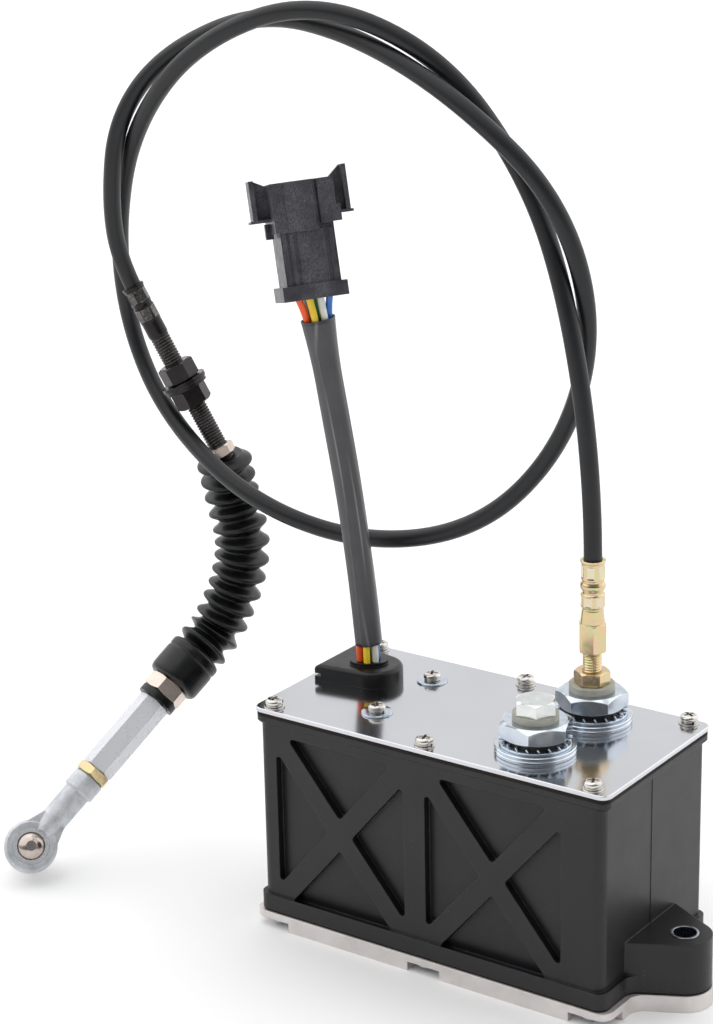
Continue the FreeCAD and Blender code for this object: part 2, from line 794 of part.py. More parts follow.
def wire_grommet():
    z0 = plate_top
    z1 = z0 + grommet_high
    centre = (harness_x, harness_y)
    middle = grommet_at[1]
    corners = [(grommet_flat_x, middle + grommet_half), (grommet_flat_x, middle - grommet_half)]
    touch = [tangent_point(corners[0], grommet_at, grommet_r, -1),
             tangent_point(corners[1], grommet_at, grommet_r, 1)]
    plan = [corners[0], touch[0], touch[1], corners[1]]
    body = prism(plan, z0, z1).fuse(rod(grommet_r, z0, z1, *grommet_at)).removeSplitter()
    crown = [e for e in body.Edges if e.BoundBox.ZMin > z1 - 0.01]
    body = body.makeFillet(grommet_crown, crown)
    body = body.fuse(rod(grommet_neck_r, plate_bottom, z0, *centre))
    body = body.fuse(rod(grommet_flange_r, plate_bottom - grommet_flange_thick, plate_bottom, *centre))
    long, short, high = grommet_collar
    collar = Part.Face(Part.Wire(Part.Ellipse(V(0, 0, 0), long, short).toShape())).extrude(V(0, 0, high + 0.5))
    collar.rotate(V(0, 0, 0), UP, grommet_collar_turn)
    collar.translate(V(harness_x, harness_y, z1 - 0.5))
    body = body.fuse(collar)
    low, gap, deep = grommet_slot
    slot = box(grommet_flat_x, grommet_flat_x + deep, middle - grommet_half, middle + grommet_half,
               z0 + low, z0 + low + gap)
    body = body.cut(slot)
    z_low = plate_bottom - grommet_flange_thick
    for offset in wire_offsets():
        x, y = harness_x + offset.x, harness_y + offset.y
        body = body.cut(rod(wire_r + wire_gap, z_low, z1 + high, x, y))
    save("wire_grommet", [body])


def harness():
    line = cord_line(sleeve_route, "sleeve")
    save("harness_sleeve", [cord_tube(line, sleeve_r, bore=sleeve_bore_r)])
    for name, route in zip(wire_names, wire_routes()):
        save("wire_" + name, [cord_tube(cord_line(route, name), wire_r)])


def wire_routes():
    """Each lead's points: beside the sleeve's line, then out to its own place in the seal."""
    below, top = V(*sleeve_route[-2]), V(*sleeve_route[-1])
    fan = top.add(unit(top.sub(below)).multiply(wire_fan))
    shared = [V(harness_x, harness_y, wire_bottom)] + [V(*p) for p in sleeve_route[:-1]] + [fan]
    place = frame_of(plug_at, plug_axis, plug_back)
    routes = []
    for offset, (across, row) in zip(wire_offsets(), wire_cavities):
        end = place.multVec(V(across * pin_pitch, row * pin_row, wire_end_deep))
        routes.append([tuple(p.add(offset)) for p in shared] + [tuple(end)])
    return routes


def plug_wing(side, top):
    """Side wing: a web with a sloping top, an outer wall and a thin lip under both."""
    w, _, high = plug_collar
    low = plug_wing_low
    inner, outer = w / 2 - 1, plug_wing_x
    y0, y1 = plug_wing_web
    outline = [(inner, low), (outer, low), (outer, top), (outer - plug_wing_thick, top), (inner, high - 1)]
    face = Part.Face(Part.makePolygon([V(side * x, y0, z) for x, z in outline + outline[:1]]))
    wing = face.extrude(V(0, y1 - y0, 0))
    y0, y1 = plug_wing_wall
    x0, x1 = sorted((side * (outer - plug_wing_thick), side * outer))
    wing = wing.fuse(box(x0, x1, y0, y1, low, top))
    x0, x1 = sorted((side * inner, side * (outer + plug_wing_lip)))
    return wing.fuse(box(x0, x1, y0, y1, low - plug_wing_lip, low))


def connector():
    """Eight-way housing with two side wings, blade contacts and wire seal."""
    place = frame_of(plug_at, plug_axis, plug_back)
    w, d, h = plug_flange
    housing = box(-w / 2, w / 2, -d / 2, d / 2, 0, h)
    w, d, waist_top = plug_waist
    floor = plug_mouth[2]
    housing = housing.fuse(box(-w / 2, w / 2, -d / 2, d / 2, 0, floor))
    for left, right in plug_ribs:
        housing = housing.fuse(box(left, right, -d / 2 - plug_rib_proud, -d / 2, h, waist_top))
    w, d, top = plug_collar
    right_low = waist_top + plug_collar_step
    housing = housing.fuse(box(-w / 2, plug_slot[0], -d / 2, d / 2, waist_top, top))
    housing = housing.fuse(box(plug_slot[0], w / 2, -d / 2, d / 2, right_low, top))
    right, deep, high = plug_block
    housing = housing.fuse(box(plug_slot[1], right, -d / 2, deep - d / 2, right_low, right_low + high))
    left, right, proud = plug_panel
    housing = housing.fuse(box(left, right, -d / 2 - proud, -d / 2, waist_top, top))
    left, right, deep = plug_slot
    housing = housing.cut(box(left, right, -d / 2, deep - d / 2, waist_top, top))
    out, high, drop = plug_tab
    housing = housing.fuse(box(-w / 2 - out, -w / 2 + 1, 0, out, waist_top + drop, waist_top + drop + high))
    for side, wing_top in zip((-1, 1), plug_wing_tops):
        housing = housing.fuse(plug_wing(side, wing_top))
    w, d, floor = plug_mouth
    housing = housing.cut(box(-w / 2, w / 2, -d / 2, d / 2, floor, top + 1))
    w, d, h = plug_seal
    housing = housing.cut(box(-w / 2, w / 2, -d / 2, d / 2, 0, h))
    spots = [(pin_pitch * (k - 1.5), side * pin_row) for k in range(4) for side in (-1, 1)]
    half_w, half_t = pin_width / 2, pin_thick / 2
    for x, y in spots:
        housing = housing.cut(box(x - half_w, x + half_w, y - half_t, y + half_t, pin_low, floor))
    save("connector_housing", placed([housing.removeSplitter()], place))
    pins = [box(x - half_w, x + half_w, y - half_t, y + half_t, pin_low, floor + pin_proud) for x, y in spots]
    save("connector_pins", placed(pins, place))
    seal = placed([box(-w / 2, w / 2, -d / 2, d / 2, 0, h)], place)[0]
    for route in wire_routes():
        foot = V(*route[-2])
        run = V(*route[-1]).sub(foot)
        seal = seal.cut(Part.makeCylinder(wire_r + wire_gap, run.Length + wire_gap, foot, run))
    save("connector_seal", [seal])


def outlet_hardware():
    z_low = frame_top - frame_thick
    bush = []
    for x, y in outlets:
        flange = hexagon(outlet_flange_flats, z_low - outlet_flange_thick, z_low, x, y)
        body = flange.fuse(rod(outlet_r, z_low, nut_top, x, y))
        body = body.cut(rod(outlet_bore_r, z_low - outlet_flange_thick, nut_top - plug_bolt_deep, x, y))
        bush.append(body.cut(rod(stud_r + stud_gap, nut_top - plug_bolt_deep, nut_top, x, y)))
    save("outlet_bushes", bush)
    bore = outlet_r + outlet_gap
    flats = []
    for x, y in outlets:
        for k in range(2):
            z0 = plate_top + k * outlet_washer_thick
            z1 = z0 + outlet_washer_thick
            bevel = outlet_washer_bevel
            disc = spun([(outlet_washer_r - bevel, z0), (outlet_washer_r, z0 + bevel),
                         (outlet_washer_r, z1 - bevel), (outlet_washer_r - bevel, z1)])
            disc.translate(V(x, y, 0))
            flats.append(disc.cut(rod(bore, z0, z1, x, y)))
    save("outlet_washers", flats)
    toothed = []
    for x, y in outlets:
        disc = ring(tooth_washer_r, bore, washers_z, tooth_z, x, y)
        for k in range(tooth_count):
            tooth = box(seal_ring_r + tooth_inset[0], tooth_washer_r - tooth_inset[1],
                        -tooth_wide / 2, tooth_wide / 2, tooth_z, nut_z)
            tooth.rotate(V(0, 0, 0), UP, 360.0 * k / tooth_count)
            tooth.translate(V(x, y, 0))
            disc = disc.fuse(tooth)
        toothed.append(disc)
    save("outlet_lock_washers", toothed)
    save("outlet_seal_rings", at_each(outlets, lambda x, y: ring(seal_ring_r, bore, tooth_z, nut_z, x, y)))
    nuts = []
    for (x, y), (flats_across, turn) in zip(outlets, outlet_nuts):
        nuts.append(hex_nut(flats_across, nut_z, nut_top, x, y, turn, bore))
    save("outlet_nuts", nuts)


def plugged_outlet():
    x, y = front_outlet
    seal = ring(seal_washer_r, stud_r + seal_washer_gap, nut_top, seal_top, x, y)
    save("plug_seal_washer", [seal])
    head_top = seal_top + plug_bolt_head
    head = hex_nut(plug_bolt_flats, seal_top, head_top, x, y, plug_bolt_turn, ends=(False, True))
    shank = rod(stud_r, nut_top - plug_bolt_deep + stud_end_gap, seal_top, x, y)
    save("plug_bolt", [head.fuse(shank)])


def cable_outlet():
    x, y = rear_outlet
    save("fitting_seal_washer", [ring(seal_washer_r, stud_r + seal_washer_gap, nut_top, seal_top, x, y)])
    nut = hex_nut(jam_nut_flats, seal_top, jam_top, x, y, jam_nut_turn, stud_r + stud_gap)
    save("fitting_jam_nut", [nut])
    hex_z = jam_top + fitting_stud_high
    turned_z = hex_z + fitting_hex_high
    body = rod(stud_r, nut_top - plug_bolt_deep + stud_end_gap, hex_z, x, y)
    body = body.fuse(hex_nut(fitting_hex_flats, hex_z, turned_z, x, y, fitting_hex_turn))
    turned = spun([(r, turned_z + z) for r, z in fitting_profile])
    turned.translate(V(x, y, 0))
    body = body.fuse(turned)
    body = body.cut(rod(conduit_r + conduit_gap, conduit_start, fitting_top, x, y))
    body = body.cut(rod(rack_rod_r + fitting_bore_gap, nut_top - plug_bolt_deep, conduit_start, x, y))
    save("cable_fitting", [body])


def conduit():
    line = cord_line(conduit_route, "conduit")
    tube = cord_tube(line, conduit_r)
    print("conduit length", round(line.Length), "volume ratio",
          round(tube.Volume / (math.pi * conduit_r ** 2 * line.Length), 4))
    save("conduit", [tube])


def cable_end():
    """Threaded tube, its nuts and washers, along the tube's own axis."""
    place = frame_of(tube_at, tube_axis)
    tube = spun(crimp_profile).fuse(rod(tube_r, crimp_length, tube_length))
    tube = tube.cut(rod(tube_bore_r, tube_floor, tube_length))
    tube = placed([tube], place)[0]
    line = cord_line(conduit_route)
    tube = tube.cut(cord_tube(line, conduit_r + conduit_gap))
    save("cable_end_tube", [tube])
    bore = tube_r + fit_gap
    z = mount_nut_start
    first = hex_nut(mount_nut_flats, z, z + mount_nut_high, turn=mount_nut_turns[0], bore=bore)
    z += mount_nut_high
    washers = []
    for k in range(2):
        washers.append(ring(mount_washer_r - mount_washer_step * k, bore, z, z + mount_washer_thick))
        z += mount_washer_thick
    second = hex_nut(mount_nut_flats, z, z + mount_nut_high, turn=mount_nut_turns[1], bore=bore)
    save("mounting_nuts", placed([first, second], place))
    save("mounting_washers", placed(washers, place))
    z = bellows_nut_start
    nut = hex_nut(bellows_nut_flats, z, z + bellows_nut_high, turn=bellows_nut_turn, bore=bore)
    save("bellows_nut", placed([nut], place))


def bellows():
    """Ridged boot from the threaded tube down to the cup over the rod's end."""
    rod_place = frame_of(eye_at, rod_axis, stud_side)
    tube_place = frame_of(tube_at, tube_axis)
    low = rod_place.multVec(V(0, 0, cup_end - cup_joint))
    high = tube_place.multVec(V(0, 0, bellows_nut_start + bellows_nut_high))
    line = cord_line([tuple(low)] + bellows_bends + [tuple(high)], "bellows")
    shape = cord_tube(line, bellows_root_r)
    pitch = line.Length / bellows_ridges
    steps = line.discretize(Number=2 * bellows_ridges + 1)
    rise = [(bellows_root_r + r, -pitch * share) for r, share in ridge_profile]
    ridge = spun(rise + [(r, -z) for r, z in reversed(rise)])
    for k in range(bellows_ridges):
        before, here, after = steps[2 * k], steps[2 * k + 1], steps[2 * k + 2]
        shape = shape.fuse(placed([ridge], frame_of(here, after.sub(before)))[0])
    shape = shape.cut(cord_tube(line, bellows_bore_r))
    taper = [(cup_r + r, lock_nut_end + z) for r, z in cup_taper]
    cup = spun(taper + [(cup_r, cup_end - cup_joint), (cup_r - cup_joint, cup_end)])
    cup = cup.cut(rod(cup_bore_r, lock_nut_end + cup_wall, cup_end))
    cup = cup.cut(rod(pin_end_r + fit_gap, lock_nut_end, lock_nut_end + cup_wall))
    shape = shape.fuse(placed([cup], rod_place)[0])
    collar_z = bellows_nut_start + bellows_nut_high
    tail_r, start, end = bellows_tail
    tail = ring(tail_r, tube_r + fit_gap, collar_z + start, collar_z + end)
    shape = shape.fuse(placed([tail], tube_place)[0])
    save("bellows", [shape])
    core_low = rod_place.multVec(V(0, 0, pin_end))
    core_high = tube_place.multVec(V(0, 0, tube_length))
    core = cord_line([tuple(core_low)] + bellows_bends + [tuple(core_high)], "core")
    save("core_wire", [cord_tube(core, core_r)])


def rod_end():
    """Lock nut, coupler, rod end and link ball, along the rod's own axis."""
    place = frame_of(eye_at, rod_axis, stud_side)
    lock = hex_nut(lock_nut_flats, washer_end, lock_nut_end, turn=lock_nut_turn, bore=pin_end_r + fit_gap)
    save("rod_lock_nut", placed([lock], place))
    save("rod_seal_washer", placed([ring(rod_washer_r, pin_end_r + fit_gap, coupler_end, washer_end)], place))
    coupler = hex_nut(coupler_flats, rod_nut_end, coupler_end, turn=coupler_turn)
    coupler = coupler.fuse(rod(coupler_stud_r, rod_nut_end - coupler_stud_deep, rod_nut_end))
    coupler = coupler.fuse(rod(pin_end_r, coupler_end, pin_end))
    save("coupler", placed([coupler], place))
    bore = coupler_stud_r + fit_gap
    nut = hex_nut(rod_nut_flats, collar_end, rod_nut_end, turn=rod_nut_turn, bore=bore)
    save("rod_jam_nut", placed([nut], place))
    eye = Part.makeCylinder(eye_r, 2 * eye_half, V(0, -eye_half, 0), V(0, 1, 0))
    rims = [e for e in eye.Edges if abs(abs(e.BoundBox.YMin) - eye_half) < 0.01 and e.BoundBox.YLength < 0.01]
    eye = eye.makeChamfer(eye_bevel, rims)
    corner = (neck_r - web_shoulder, web_end)
    touch = tangent_point(corner, (0, 0), eye_r - eye_bevel, -1)
    plan = [touch, corner, (-corner[0], web_end), (-touch[0], touch[1])]
    wire = Part.makePolygon([V(x, web_inset - eye_half, z) for x, z in plan + plan[:1]])
    web = Part.Face(wire).extrude(V(0, 2 * (eye_half - web_inset), 0))
    neck = spun([neck_root, (neck_r, web_end), (neck_r, collar_start - 1), (collar_r, collar_start),
                 (collar_r, collar_end - collar_bevel), (collar_r - collar_bevel, collar_end)])
    body = fuse_all([eye, web, neck])
    body = body.cut(Part.makeCylinder(seat_r + fit_gap, 40, V(0, -20, 0), V(0, 1, 0)))
    body = body.cut(rod(bore, rod_nut_end - coupler_stud_deep - 2, collar_end))
    save("rod_end_body", placed([body], place))
    seat_half = eye_half + seat_proud
    seat = Part.makeCylinder(seat_r, 2 * seat_half, V(0, -seat_half, 0), V(0, 1, 0))
    seat = seat.cut(Part.makeSphere(ball_r + ball_gap))
    seat = seat.cut(Part.makeCylinder(ball_mouth_r, 20, V(0, -10, 0), V(0, 1, 0)))
    save("rod_end_seat", placed([seat], place))
    ball = Part.makeSphere(ball_r).cut(box(-10, 10, -10, ball_flat - ball_r, -10, 10))
    y0, y1 = ball_hex_y
    stud = Part.makeCylinder(ball_neck_r, ball_stud_end - 5, V(0, 5, 0), V(0, 1, 0))
    flange = hex_nut(ball_hex_flats, y0, y1)
    flange.rotate(V(0, 0, 0), V(1, 0, 0), -90)
    save("ball_stud", placed([fuse_all([ball, stud, flange])], place))


def gear_frame():
    x0, x1 = frame_x
    z1 = frame_top
    z0 = z1 - frame_thick
    solid = box(x0, x1, -frame_half_y, frame_half_y, z0, z1)
    webs = ((motor_web_x, motor_web_half), (near_web_x, gear_web_half), (far_web_x, gear_web_half))
    for x, half in webs:
        solid = solid.fuse(box(x, x + web_thick, -half, half, web_bottom, z0))
    inner, outer = near_web_x + web_thick, far_web_x
    guide_y = rack_back + rack_gap
    guide_top = z0 - outlet_flange_thick
    for side, (x, _) in zip((-1, 1), outlets):
        y0, y1 = sorted((side * guide_y, side * (guide_y + guide_thick)))
        solid = solid.fuse(box(inner, outer, y0, y1, web_bottom, guide_top))
        y0, y1 = sorted((side * guide_lip_y, side * guide_y))
        half = rack_width / 2 + rack_gap
        for a, b in ((inner, x - half), (x + half, outer)):
            solid = solid.fuse(box(a, b, y0, y1, web_bottom, guide_top - guide_step))
    pocket_r = outlet_flange_flats / math.sqrt(3) + outlet_pocket_gap
    for x, y in outlets:
        solid = solid.cut(rod(pocket_r, z0 - outlet_flange_thick - outlet_pocket_gap, z0, x, y))
        solid = solid.cut(rod(outlet_r + outlet_clear, z0, z1, x, y))
    solid = cut_all(solid, at_each(frame_screws, lambda x, y: rod(screw_r + screw_hole_gap, z0, z1, x, y)))
    out_r = output_shaft_r + fit_gap + shaft_bush_wall
    idle_r = idler_shaft_r + fit_gap + shaft_bush_wall
    solid = solid.cut(rod_x(out_r + fit_gap, near_web_x, far_web_x + web_thick, 0, shaft_z))
    solid = solid.cut(rod_x(idle_r + fit_gap, motor_web_x, near_web_x + web_thick, 0, idler_z))
    x0, x1 = motor_web_x, motor_web_x + web_thick
    solid = solid.cut(rod_x(motor_boss_r, x0, x1, 0, shaft_z))
    for side in (-1, 1):
        solid = solid.cut(rod_x(motor_screw_r + motor_screw_clear, x0, x1, side * motor_screw_y, shaft_z))
    save("gear_frame", [solid.removeSplitter()])
    bushes = []
    for x in (near_web_x, far_web_x):
        bush = rod_x(out_r, x, x + web_thick, 0, shaft_z)
        bushes.append(bush.cut(rod_x(output_shaft_r + fit_gap, x, x + web_thick, 0, shaft_z)))
    for x in (motor_web_x, near_web_x):
        bush = rod_x(idle_r, x, x + web_thick, 0, idler_z)
        bushes.append(bush.cut(rod_x(idler_shaft_r + fit_gap, x, x + web_thick, 0, idler_z)))
    save("shaft_bushes", bushes)


def motor():
    """Can, end cap and screws stay still; the armature turns with its pinion."""
    x1 = motor_web_x
    x0 = x1 - motor_length
    z = shaft_z
    face_x = x1 - motor_face_thick
    can = rod_x(motor_r, x0, x1, 0, z).cut(rod_x(motor_r - motor_wall, x0, face_x, 0, z))
    can = can.cut(rod_x(motor_shaft_r + fit_gap, face_x, x1, 0, z))
    for side in (-1, 1):
        can = can.cut(rod_x(motor_screw_r + motor_screw_gap, face_x, x1, side * motor_screw_y, z))
    save("motor_can", [can])
    cap_x = x0 - motor_cap_thick
    cap = rod_x(motor_r, cap_x, x0, 0, z)
    cap = cap.cut(rod_x(motor_shaft_r + fit_gap, x0 - motor_face_thick, x0, 0, z))
    out, wide, thick, long = motor_tab
    for side in (-1, 1):
        cap = cap.fuse(box(cap_x - long, cap_x, side * out - wide / 2, side * out + wide / 2,
                           z - thick / 2, z + thick / 2))
    save("motor_end_cap", [cap])
    screws = []
    head_r, head_high = motor_screw_head
    web_x = x1 + web_thick
    for side in (-1, 1):
        y = side * motor_screw_y
        head = rod_x(head_r, web_x, web_x + head_high, y, z)
        screws.append(head.fuse(rod_x(motor_screw_r, face_x + motor_screw_end_gap, web_x, y, z)))
    save("motor_screws", screws)
    core_x = (x0 + armature_ends[0], x1 - armature_ends[1])
    core = rod_x(motor_r - motor_wall - armature_gap, *core_x, 0, z)
    wide, root = armature_slot
    for k in range(armature_slots):
        slot = box(*core_x, -wide / 2, wide / 2, z + root, z + motor_r)
        slot.rotate(V(0, 0, z), V(1, 0, 0), 360.0 * k / armature_slots)
        core = core.cut(slot)
    r, near, far = commutator
    armature = core.fuse(rod_x(r, x0 + near, x0 + far, 0, z))
    low, high = first_wheel_x - wheel_half - hub_proud, first_wheel_x + wheel_half + hub_proud
    armature = armature.fuse(rod_x(motor_shaft_r, x0 - motor_face_thick + motor_screw_end_gap, low, 0, z))
    pinion = gear(pinion_teeth, gear_module, low, high, z, turn=mesh_turns()[0])
    save("motor_armature", [armature.fuse(pinion)])


def mesh_turns():
    """Turns in degrees that put a tooth of each gear in a gap of its neighbour."""
    half_pinion = 180.0 / pinion_teeth
    return half_pinion, 0.0, half_pinion, 0.0


def gear_shafts():
    motor_turn, wheel_turn, pinion_turn, output_turn = mesh_turns()
    x = first_wheel_x
    wheel = gear(wheel_teeth, gear_module, x - wheel_half, x + wheel_half, idler_z, turn=180 + wheel_turn)
    shaft_ends = (motor_web_x + shaft_end_gap, near_web_x + web_thick - shaft_end_gap)
    shaft = rod_x(idler_shaft_r, *shaft_ends, 0, idler_z)
    x = second_wheel_x
    low, high = x - wheel_half - hub_proud, x + wheel_half + hub_proud
    pinion = gear(pinion_teeth, gear_module, low, high, idler_z, turn=180 + pinion_turn)
    save("idler_gear", [fuse_all([wheel, shaft, pinion])])
    shaft = rod_x(output_shaft_r, low, far_web_x + web_thick + output_shaft_out, 0, shaft_z)
    save("output_shaft", [shaft])
    wheel = gear(wheel_teeth, gear_module, x - wheel_half, x + wheel_half, shaft_z, turn=output_turn,
                 bore=output_shaft_r + press_gap)
    save("output_gear", [wheel])
    x0, x1 = rack_pinion_x
    pinion = gear(rack_pinion_teeth, rack_module, x0, x1, shaft_z, turn=rack_pinion_turn(),
                  bore=output_shaft_r + press_gap)
    save("rack_pinion", [pinion])
    x0 = far_web_x + web_thick
    body = rod_x(sensor_r, x0, x0 + sensor_length, 0, shaft_z)
    near, far, half = sensor_plug
    body = body.fuse(box(x0 + near, x0 + far, -half, half, shaft_z - sensor_r - half, shaft_z))
    bore = rod_x(output_shaft_r + fit_gap, x0, x0 + sensor_bore_deep, 0, shaft_z)
    save("position_sensor", [body.cut(bore)])


def rack_pinion_turn():
    """A tooth of the rack pinion points straight at each rack."""
    return 90.0 - 360.0 / rack_pinion_teeth * round(90.0 * rack_pinion_teeth / 360.0)


def rack(side, x, z_low):
    """Toothed bar on one side of the pinion, its teeth towards the pinion."""
    pitch_y = rack_module * rack_pinion_teeth / 2
    step = math.pi * rack_module
    tip_y = pitch_y - 0.85 * rack_module
    root_y = pitch_y + 1.15 * rack_module
    half = tooth_share * step / 2
    slope = math.tan(math.radians(20))
    tip_half = half - 0.85 * rack_module * slope
    root_half = half + 1.15 * rack_module * slope
    lows = math.floor((shaft_z - z_low - 1.0) / step + 0.5)
    highs = math.floor((z_low + rack_length - shaft_z - 1.0) / step + 0.5)
    points = [(rack_back, z_low), (root_y, z_low)]
    for k in range(-lows + 1, highs):
        c = shaft_z + (k - 0.5) * step
        points += [(root_y, c - root_half), (tip_y, c - tip_half), (tip_y, c + tip_half), (root_y, c + root_half)]
    points += [(root_y, z_low + rack_length), (rack_back, z_low + rack_length)]
    x0 = x - rack_width / 2
    wire = Part.makePolygon([V(x0, side * y, z) for y, z in points + points[:1]])
    return Part.Face(wire).extrude(V(rack_width, 0, 0))


def racks():
    save("front_rack", [rack(-1, front_outlet[0], rack_low)])
    high = rack_low + rack_travel
    bar = rack(1, rear_outlet[0], high)
    stem = rod(rack_rod_r, high + rack_length - 1.0, high + rack_length + rack_rod_length, *rear_outlet)
    save("rear_rack", [bar.fuse(stem)])


def main():
    os.makedirs("parts", exist_ok=True)
    base_plate()
    base_gasket()
    base_screws()
    case_body()
    ear_bushes()
    cover_gasket()
    cover_plate()
    screw_heads()
    wire_grommet()
    harness()
    connector()
    outlet_hardware()
    plugged_outlet()
    cable_outlet()
    conduit()
    cable_end()
    bellows()
    rod_end()
    gear_frame()
    motor()
    gear_shafts()
    racks()


main()
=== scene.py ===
import bpy
import json
import math
from mathutils import Matrix, Vector


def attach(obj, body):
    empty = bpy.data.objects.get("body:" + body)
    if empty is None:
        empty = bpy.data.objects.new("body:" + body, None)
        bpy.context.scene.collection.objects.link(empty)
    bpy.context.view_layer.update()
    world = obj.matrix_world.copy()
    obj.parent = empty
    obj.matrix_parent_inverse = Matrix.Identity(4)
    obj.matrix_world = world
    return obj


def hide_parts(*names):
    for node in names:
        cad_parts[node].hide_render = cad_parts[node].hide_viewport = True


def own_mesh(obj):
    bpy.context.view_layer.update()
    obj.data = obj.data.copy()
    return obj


# Engine governor actuator: finishes, cable, bellows, harness, threads and washers over the CAD frame.
# Lengths in this file are millimetres until MM turns them into the scene's metres.

MM = 0.001
ALONG_X = Vector((1, 0, 0))
ALONG_Y = Vector((0, 1, 0))
UP = Vector((0, 0, 1))

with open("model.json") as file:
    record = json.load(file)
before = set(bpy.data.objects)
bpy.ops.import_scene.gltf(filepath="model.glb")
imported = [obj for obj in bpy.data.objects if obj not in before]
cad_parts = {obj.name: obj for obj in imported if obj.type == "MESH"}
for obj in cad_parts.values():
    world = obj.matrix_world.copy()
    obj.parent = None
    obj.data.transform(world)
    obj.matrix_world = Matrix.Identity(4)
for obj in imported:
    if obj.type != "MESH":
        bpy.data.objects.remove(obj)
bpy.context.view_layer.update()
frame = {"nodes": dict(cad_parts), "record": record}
cad = frame["nodes"]


# Places, routes and sizes, most of them shared with the part's source

REAR_OUTLET = (46.2, 23.0)
FRONT_OUTLET = (42.6, -20.1)
HARNESS = (-69.0, 10.4)
PLATE_TOP = 112.0
SCREW_X = 85.5
SCREW_Y = 43.0
SCREW_MIDDLE_X = -1.5
FRAME_SCREW_X = -41.3
FRAME_SCREW_Y = 23.0
LARGE_WASHER_R = 7.4
CONDUIT_R = 4.25
CONDUIT_ROUTE = [
    (46.2, 23.0, 183.7), (46.2, 23.0, 228.0), (31.0, 25.0, 308.0), (2.0, 37.0, 358.0),
    (-35.0, 26.0, 409.0), (-93.0, 10.0, 432.0), (-155.7, 5.0, 409.4), (-204.6, 15.5, 364.7),
    (-233.2, 33.0, 308.1), (-236.0, 42.0, 255.0), (-203.9, 31.5, 214.9), (-141.5, 15.5, 186.1),
    (-85.0, 32.0, 170.0), (-25.0, 41.0, 186.0), (18.0, 44.0, 232.0), (38.0, 38.0, 291.0),
    (29.0, 22.0, 351.0), (-19.0, 16.0, 391.7), (-75.2, 19.1, 415.7), (-133.1, 24.0, 422.6),
    (-188.5, 21.0, 399.5), (-211.2, 11.5, 368.4), (-217.0, 10.5, 329.0), (-218.9, 17.1, 297.1),
    (-211.3, 21.3, 279.1),
]
SLEEVE_ROUTE = [
    (-69.0, 10.4, 130.0), (-71.0, 9.0, 160.0), (-75.0, 6.0, 205.0), (-80.5, 2.0, 250.0),
    (-85.4, -1.3, 289.0),
]
SLEEVE_R = 6.8
SLEEVE_ROOT_R = 6.38
SLEEVE_BORE_R = 6.1
SLEEVE_FLARE = 1.6
WIRE_BOTTOM = 99.0
WIRE_R = 1.6
WIRE_RING_R = 4.3
WIRE_FAN = 3.0
PLUG_AT = Vector((-87.0, -3.0, 298.4))
PLUG_AXIS = Vector((-0.2195, 0.1057, 0.9698)).normalized()
PLUG_BACK = Vector((-0.743, 0.669, 0.0))
WIRE_END_DEEP = 4.6
PIN_PITCH = 5.8
PIN_ROW = 4.2

# Each lead's angle round the sleeve, and its place in the connector: contact across, then row
LEADS = {
    "orange": (-125, (-1.5, -1)), "yellow": (-65, (-0.5, -1)), "white": (-5, (0.5, -1)),
    "blue": (55, (1.5, -1)), "black": (115, (0.5, 1)), "grey": (175, (-0.5, 1)), "green": (None, (0, 0)),
}
TUBE_AT = Vector((-213.6, 20.0, 284.5))
TUBE_AXIS = Vector((0.381, 0.211, -0.900)).normalized()
EYE_AT = Vector((-217.95, -73.0, 18.05))
ROD_AXIS = Vector((0.2473, 0.7581, 0.6034)).normalized()
STUD_SIDE = Vector((-0.6387, 0.5958, -0.4867))
BELLOWS_BENDS = [(-182.3, 36.4, 105.1), (-174.6, 44.5, 128.3), (-171.0, 47.3, 151.3), (-176.5, 45.0, 178.0)]
BELLOWS_R = 14.0
BELLOWS_RIDGES = 13
BELLOWS_ROOT_R = 9.6
BELLOWS_BORE_R = 7.6
BELLOWS_TOP = 95.8
LOCK_NUT_END = 107.9
CUP_END = 130.8
CUP_R = 14.0
PIN_R = 2.95
CORE_R = 1.45
PIN_END = 124.8
TUBE_R = 4.9
TUBE_LENGTH = 99.0
CRIMP_LENGTH = 27.5
CRIMP = [(5.5, 0.0), (5.6, 0.15), (5.6, 1.0), (5.25, 1.8), (5.25, 9.1), (4.9, 9.7), (4.9, 11.1), (5.25, 11.7),
         (5.25, 19.0), (5.1, 19.5), (5.1, 26.8), (TUBE_R, CRIMP_LENGTH)]


# Shader groups

def shader_group(name, inputs, outputs):
    """Empty node group with its named sockets."""
    tree = bpy.data.node_groups.new(name, "ShaderNodeTree")
    for label, kind, value in inputs:
        socket = tree.interface.new_socket(label, in_out="INPUT", socket_type="NodeSocket" + kind)
        if value is not None:
            socket.default_value = value
    for label, kind in outputs:
        tree.interface.new_socket(label, in_out="OUTPUT", socket_type="NodeSocket" + kind)
    return tree, tree.nodes.new("NodeGroupInput"), tree.nodes.new("NodeGroupOutput")


def add(tree, kind, inputs=None, **settings):
    """New node; each input is a value, or a socket to link from."""
    node = tree.nodes.new(kind)
    for key, value in settings.items():
        setattr(node, key, value)
    for key, value in (inputs or {}).items():
        if isinstance(value, bpy.types.NodeSocket):
            tree.links.new(value, node.inputs[key])
        else:
            node.inputs[key].default_value = value
    return node


def blend_colour(tree, mask, first, second):
    """Colour that goes from the first to the second with the mask."""
    return add(tree, "ShaderNodeMix", {"Factor": mask, 6: first, 7: second}, data_type="RGBA").outputs[2]


def noise(tree, place, scale, detail, **more):
    """Cloud texture from 0 to 1."""
    inputs = {"Vector": place, "Scale": scale, "Detail": detail, **more}
    return add(tree, "ShaderNodeTexNoise", inputs).outputs["Fac"]


def remap(tree, value, low, high):
    """Share from 0 to 1 as the value goes from low to high."""
    share = add(tree, "ShaderNodeMapRange", {"Value": value, "From Min": low, "From Max": high})
    return share.outputs["Result"]


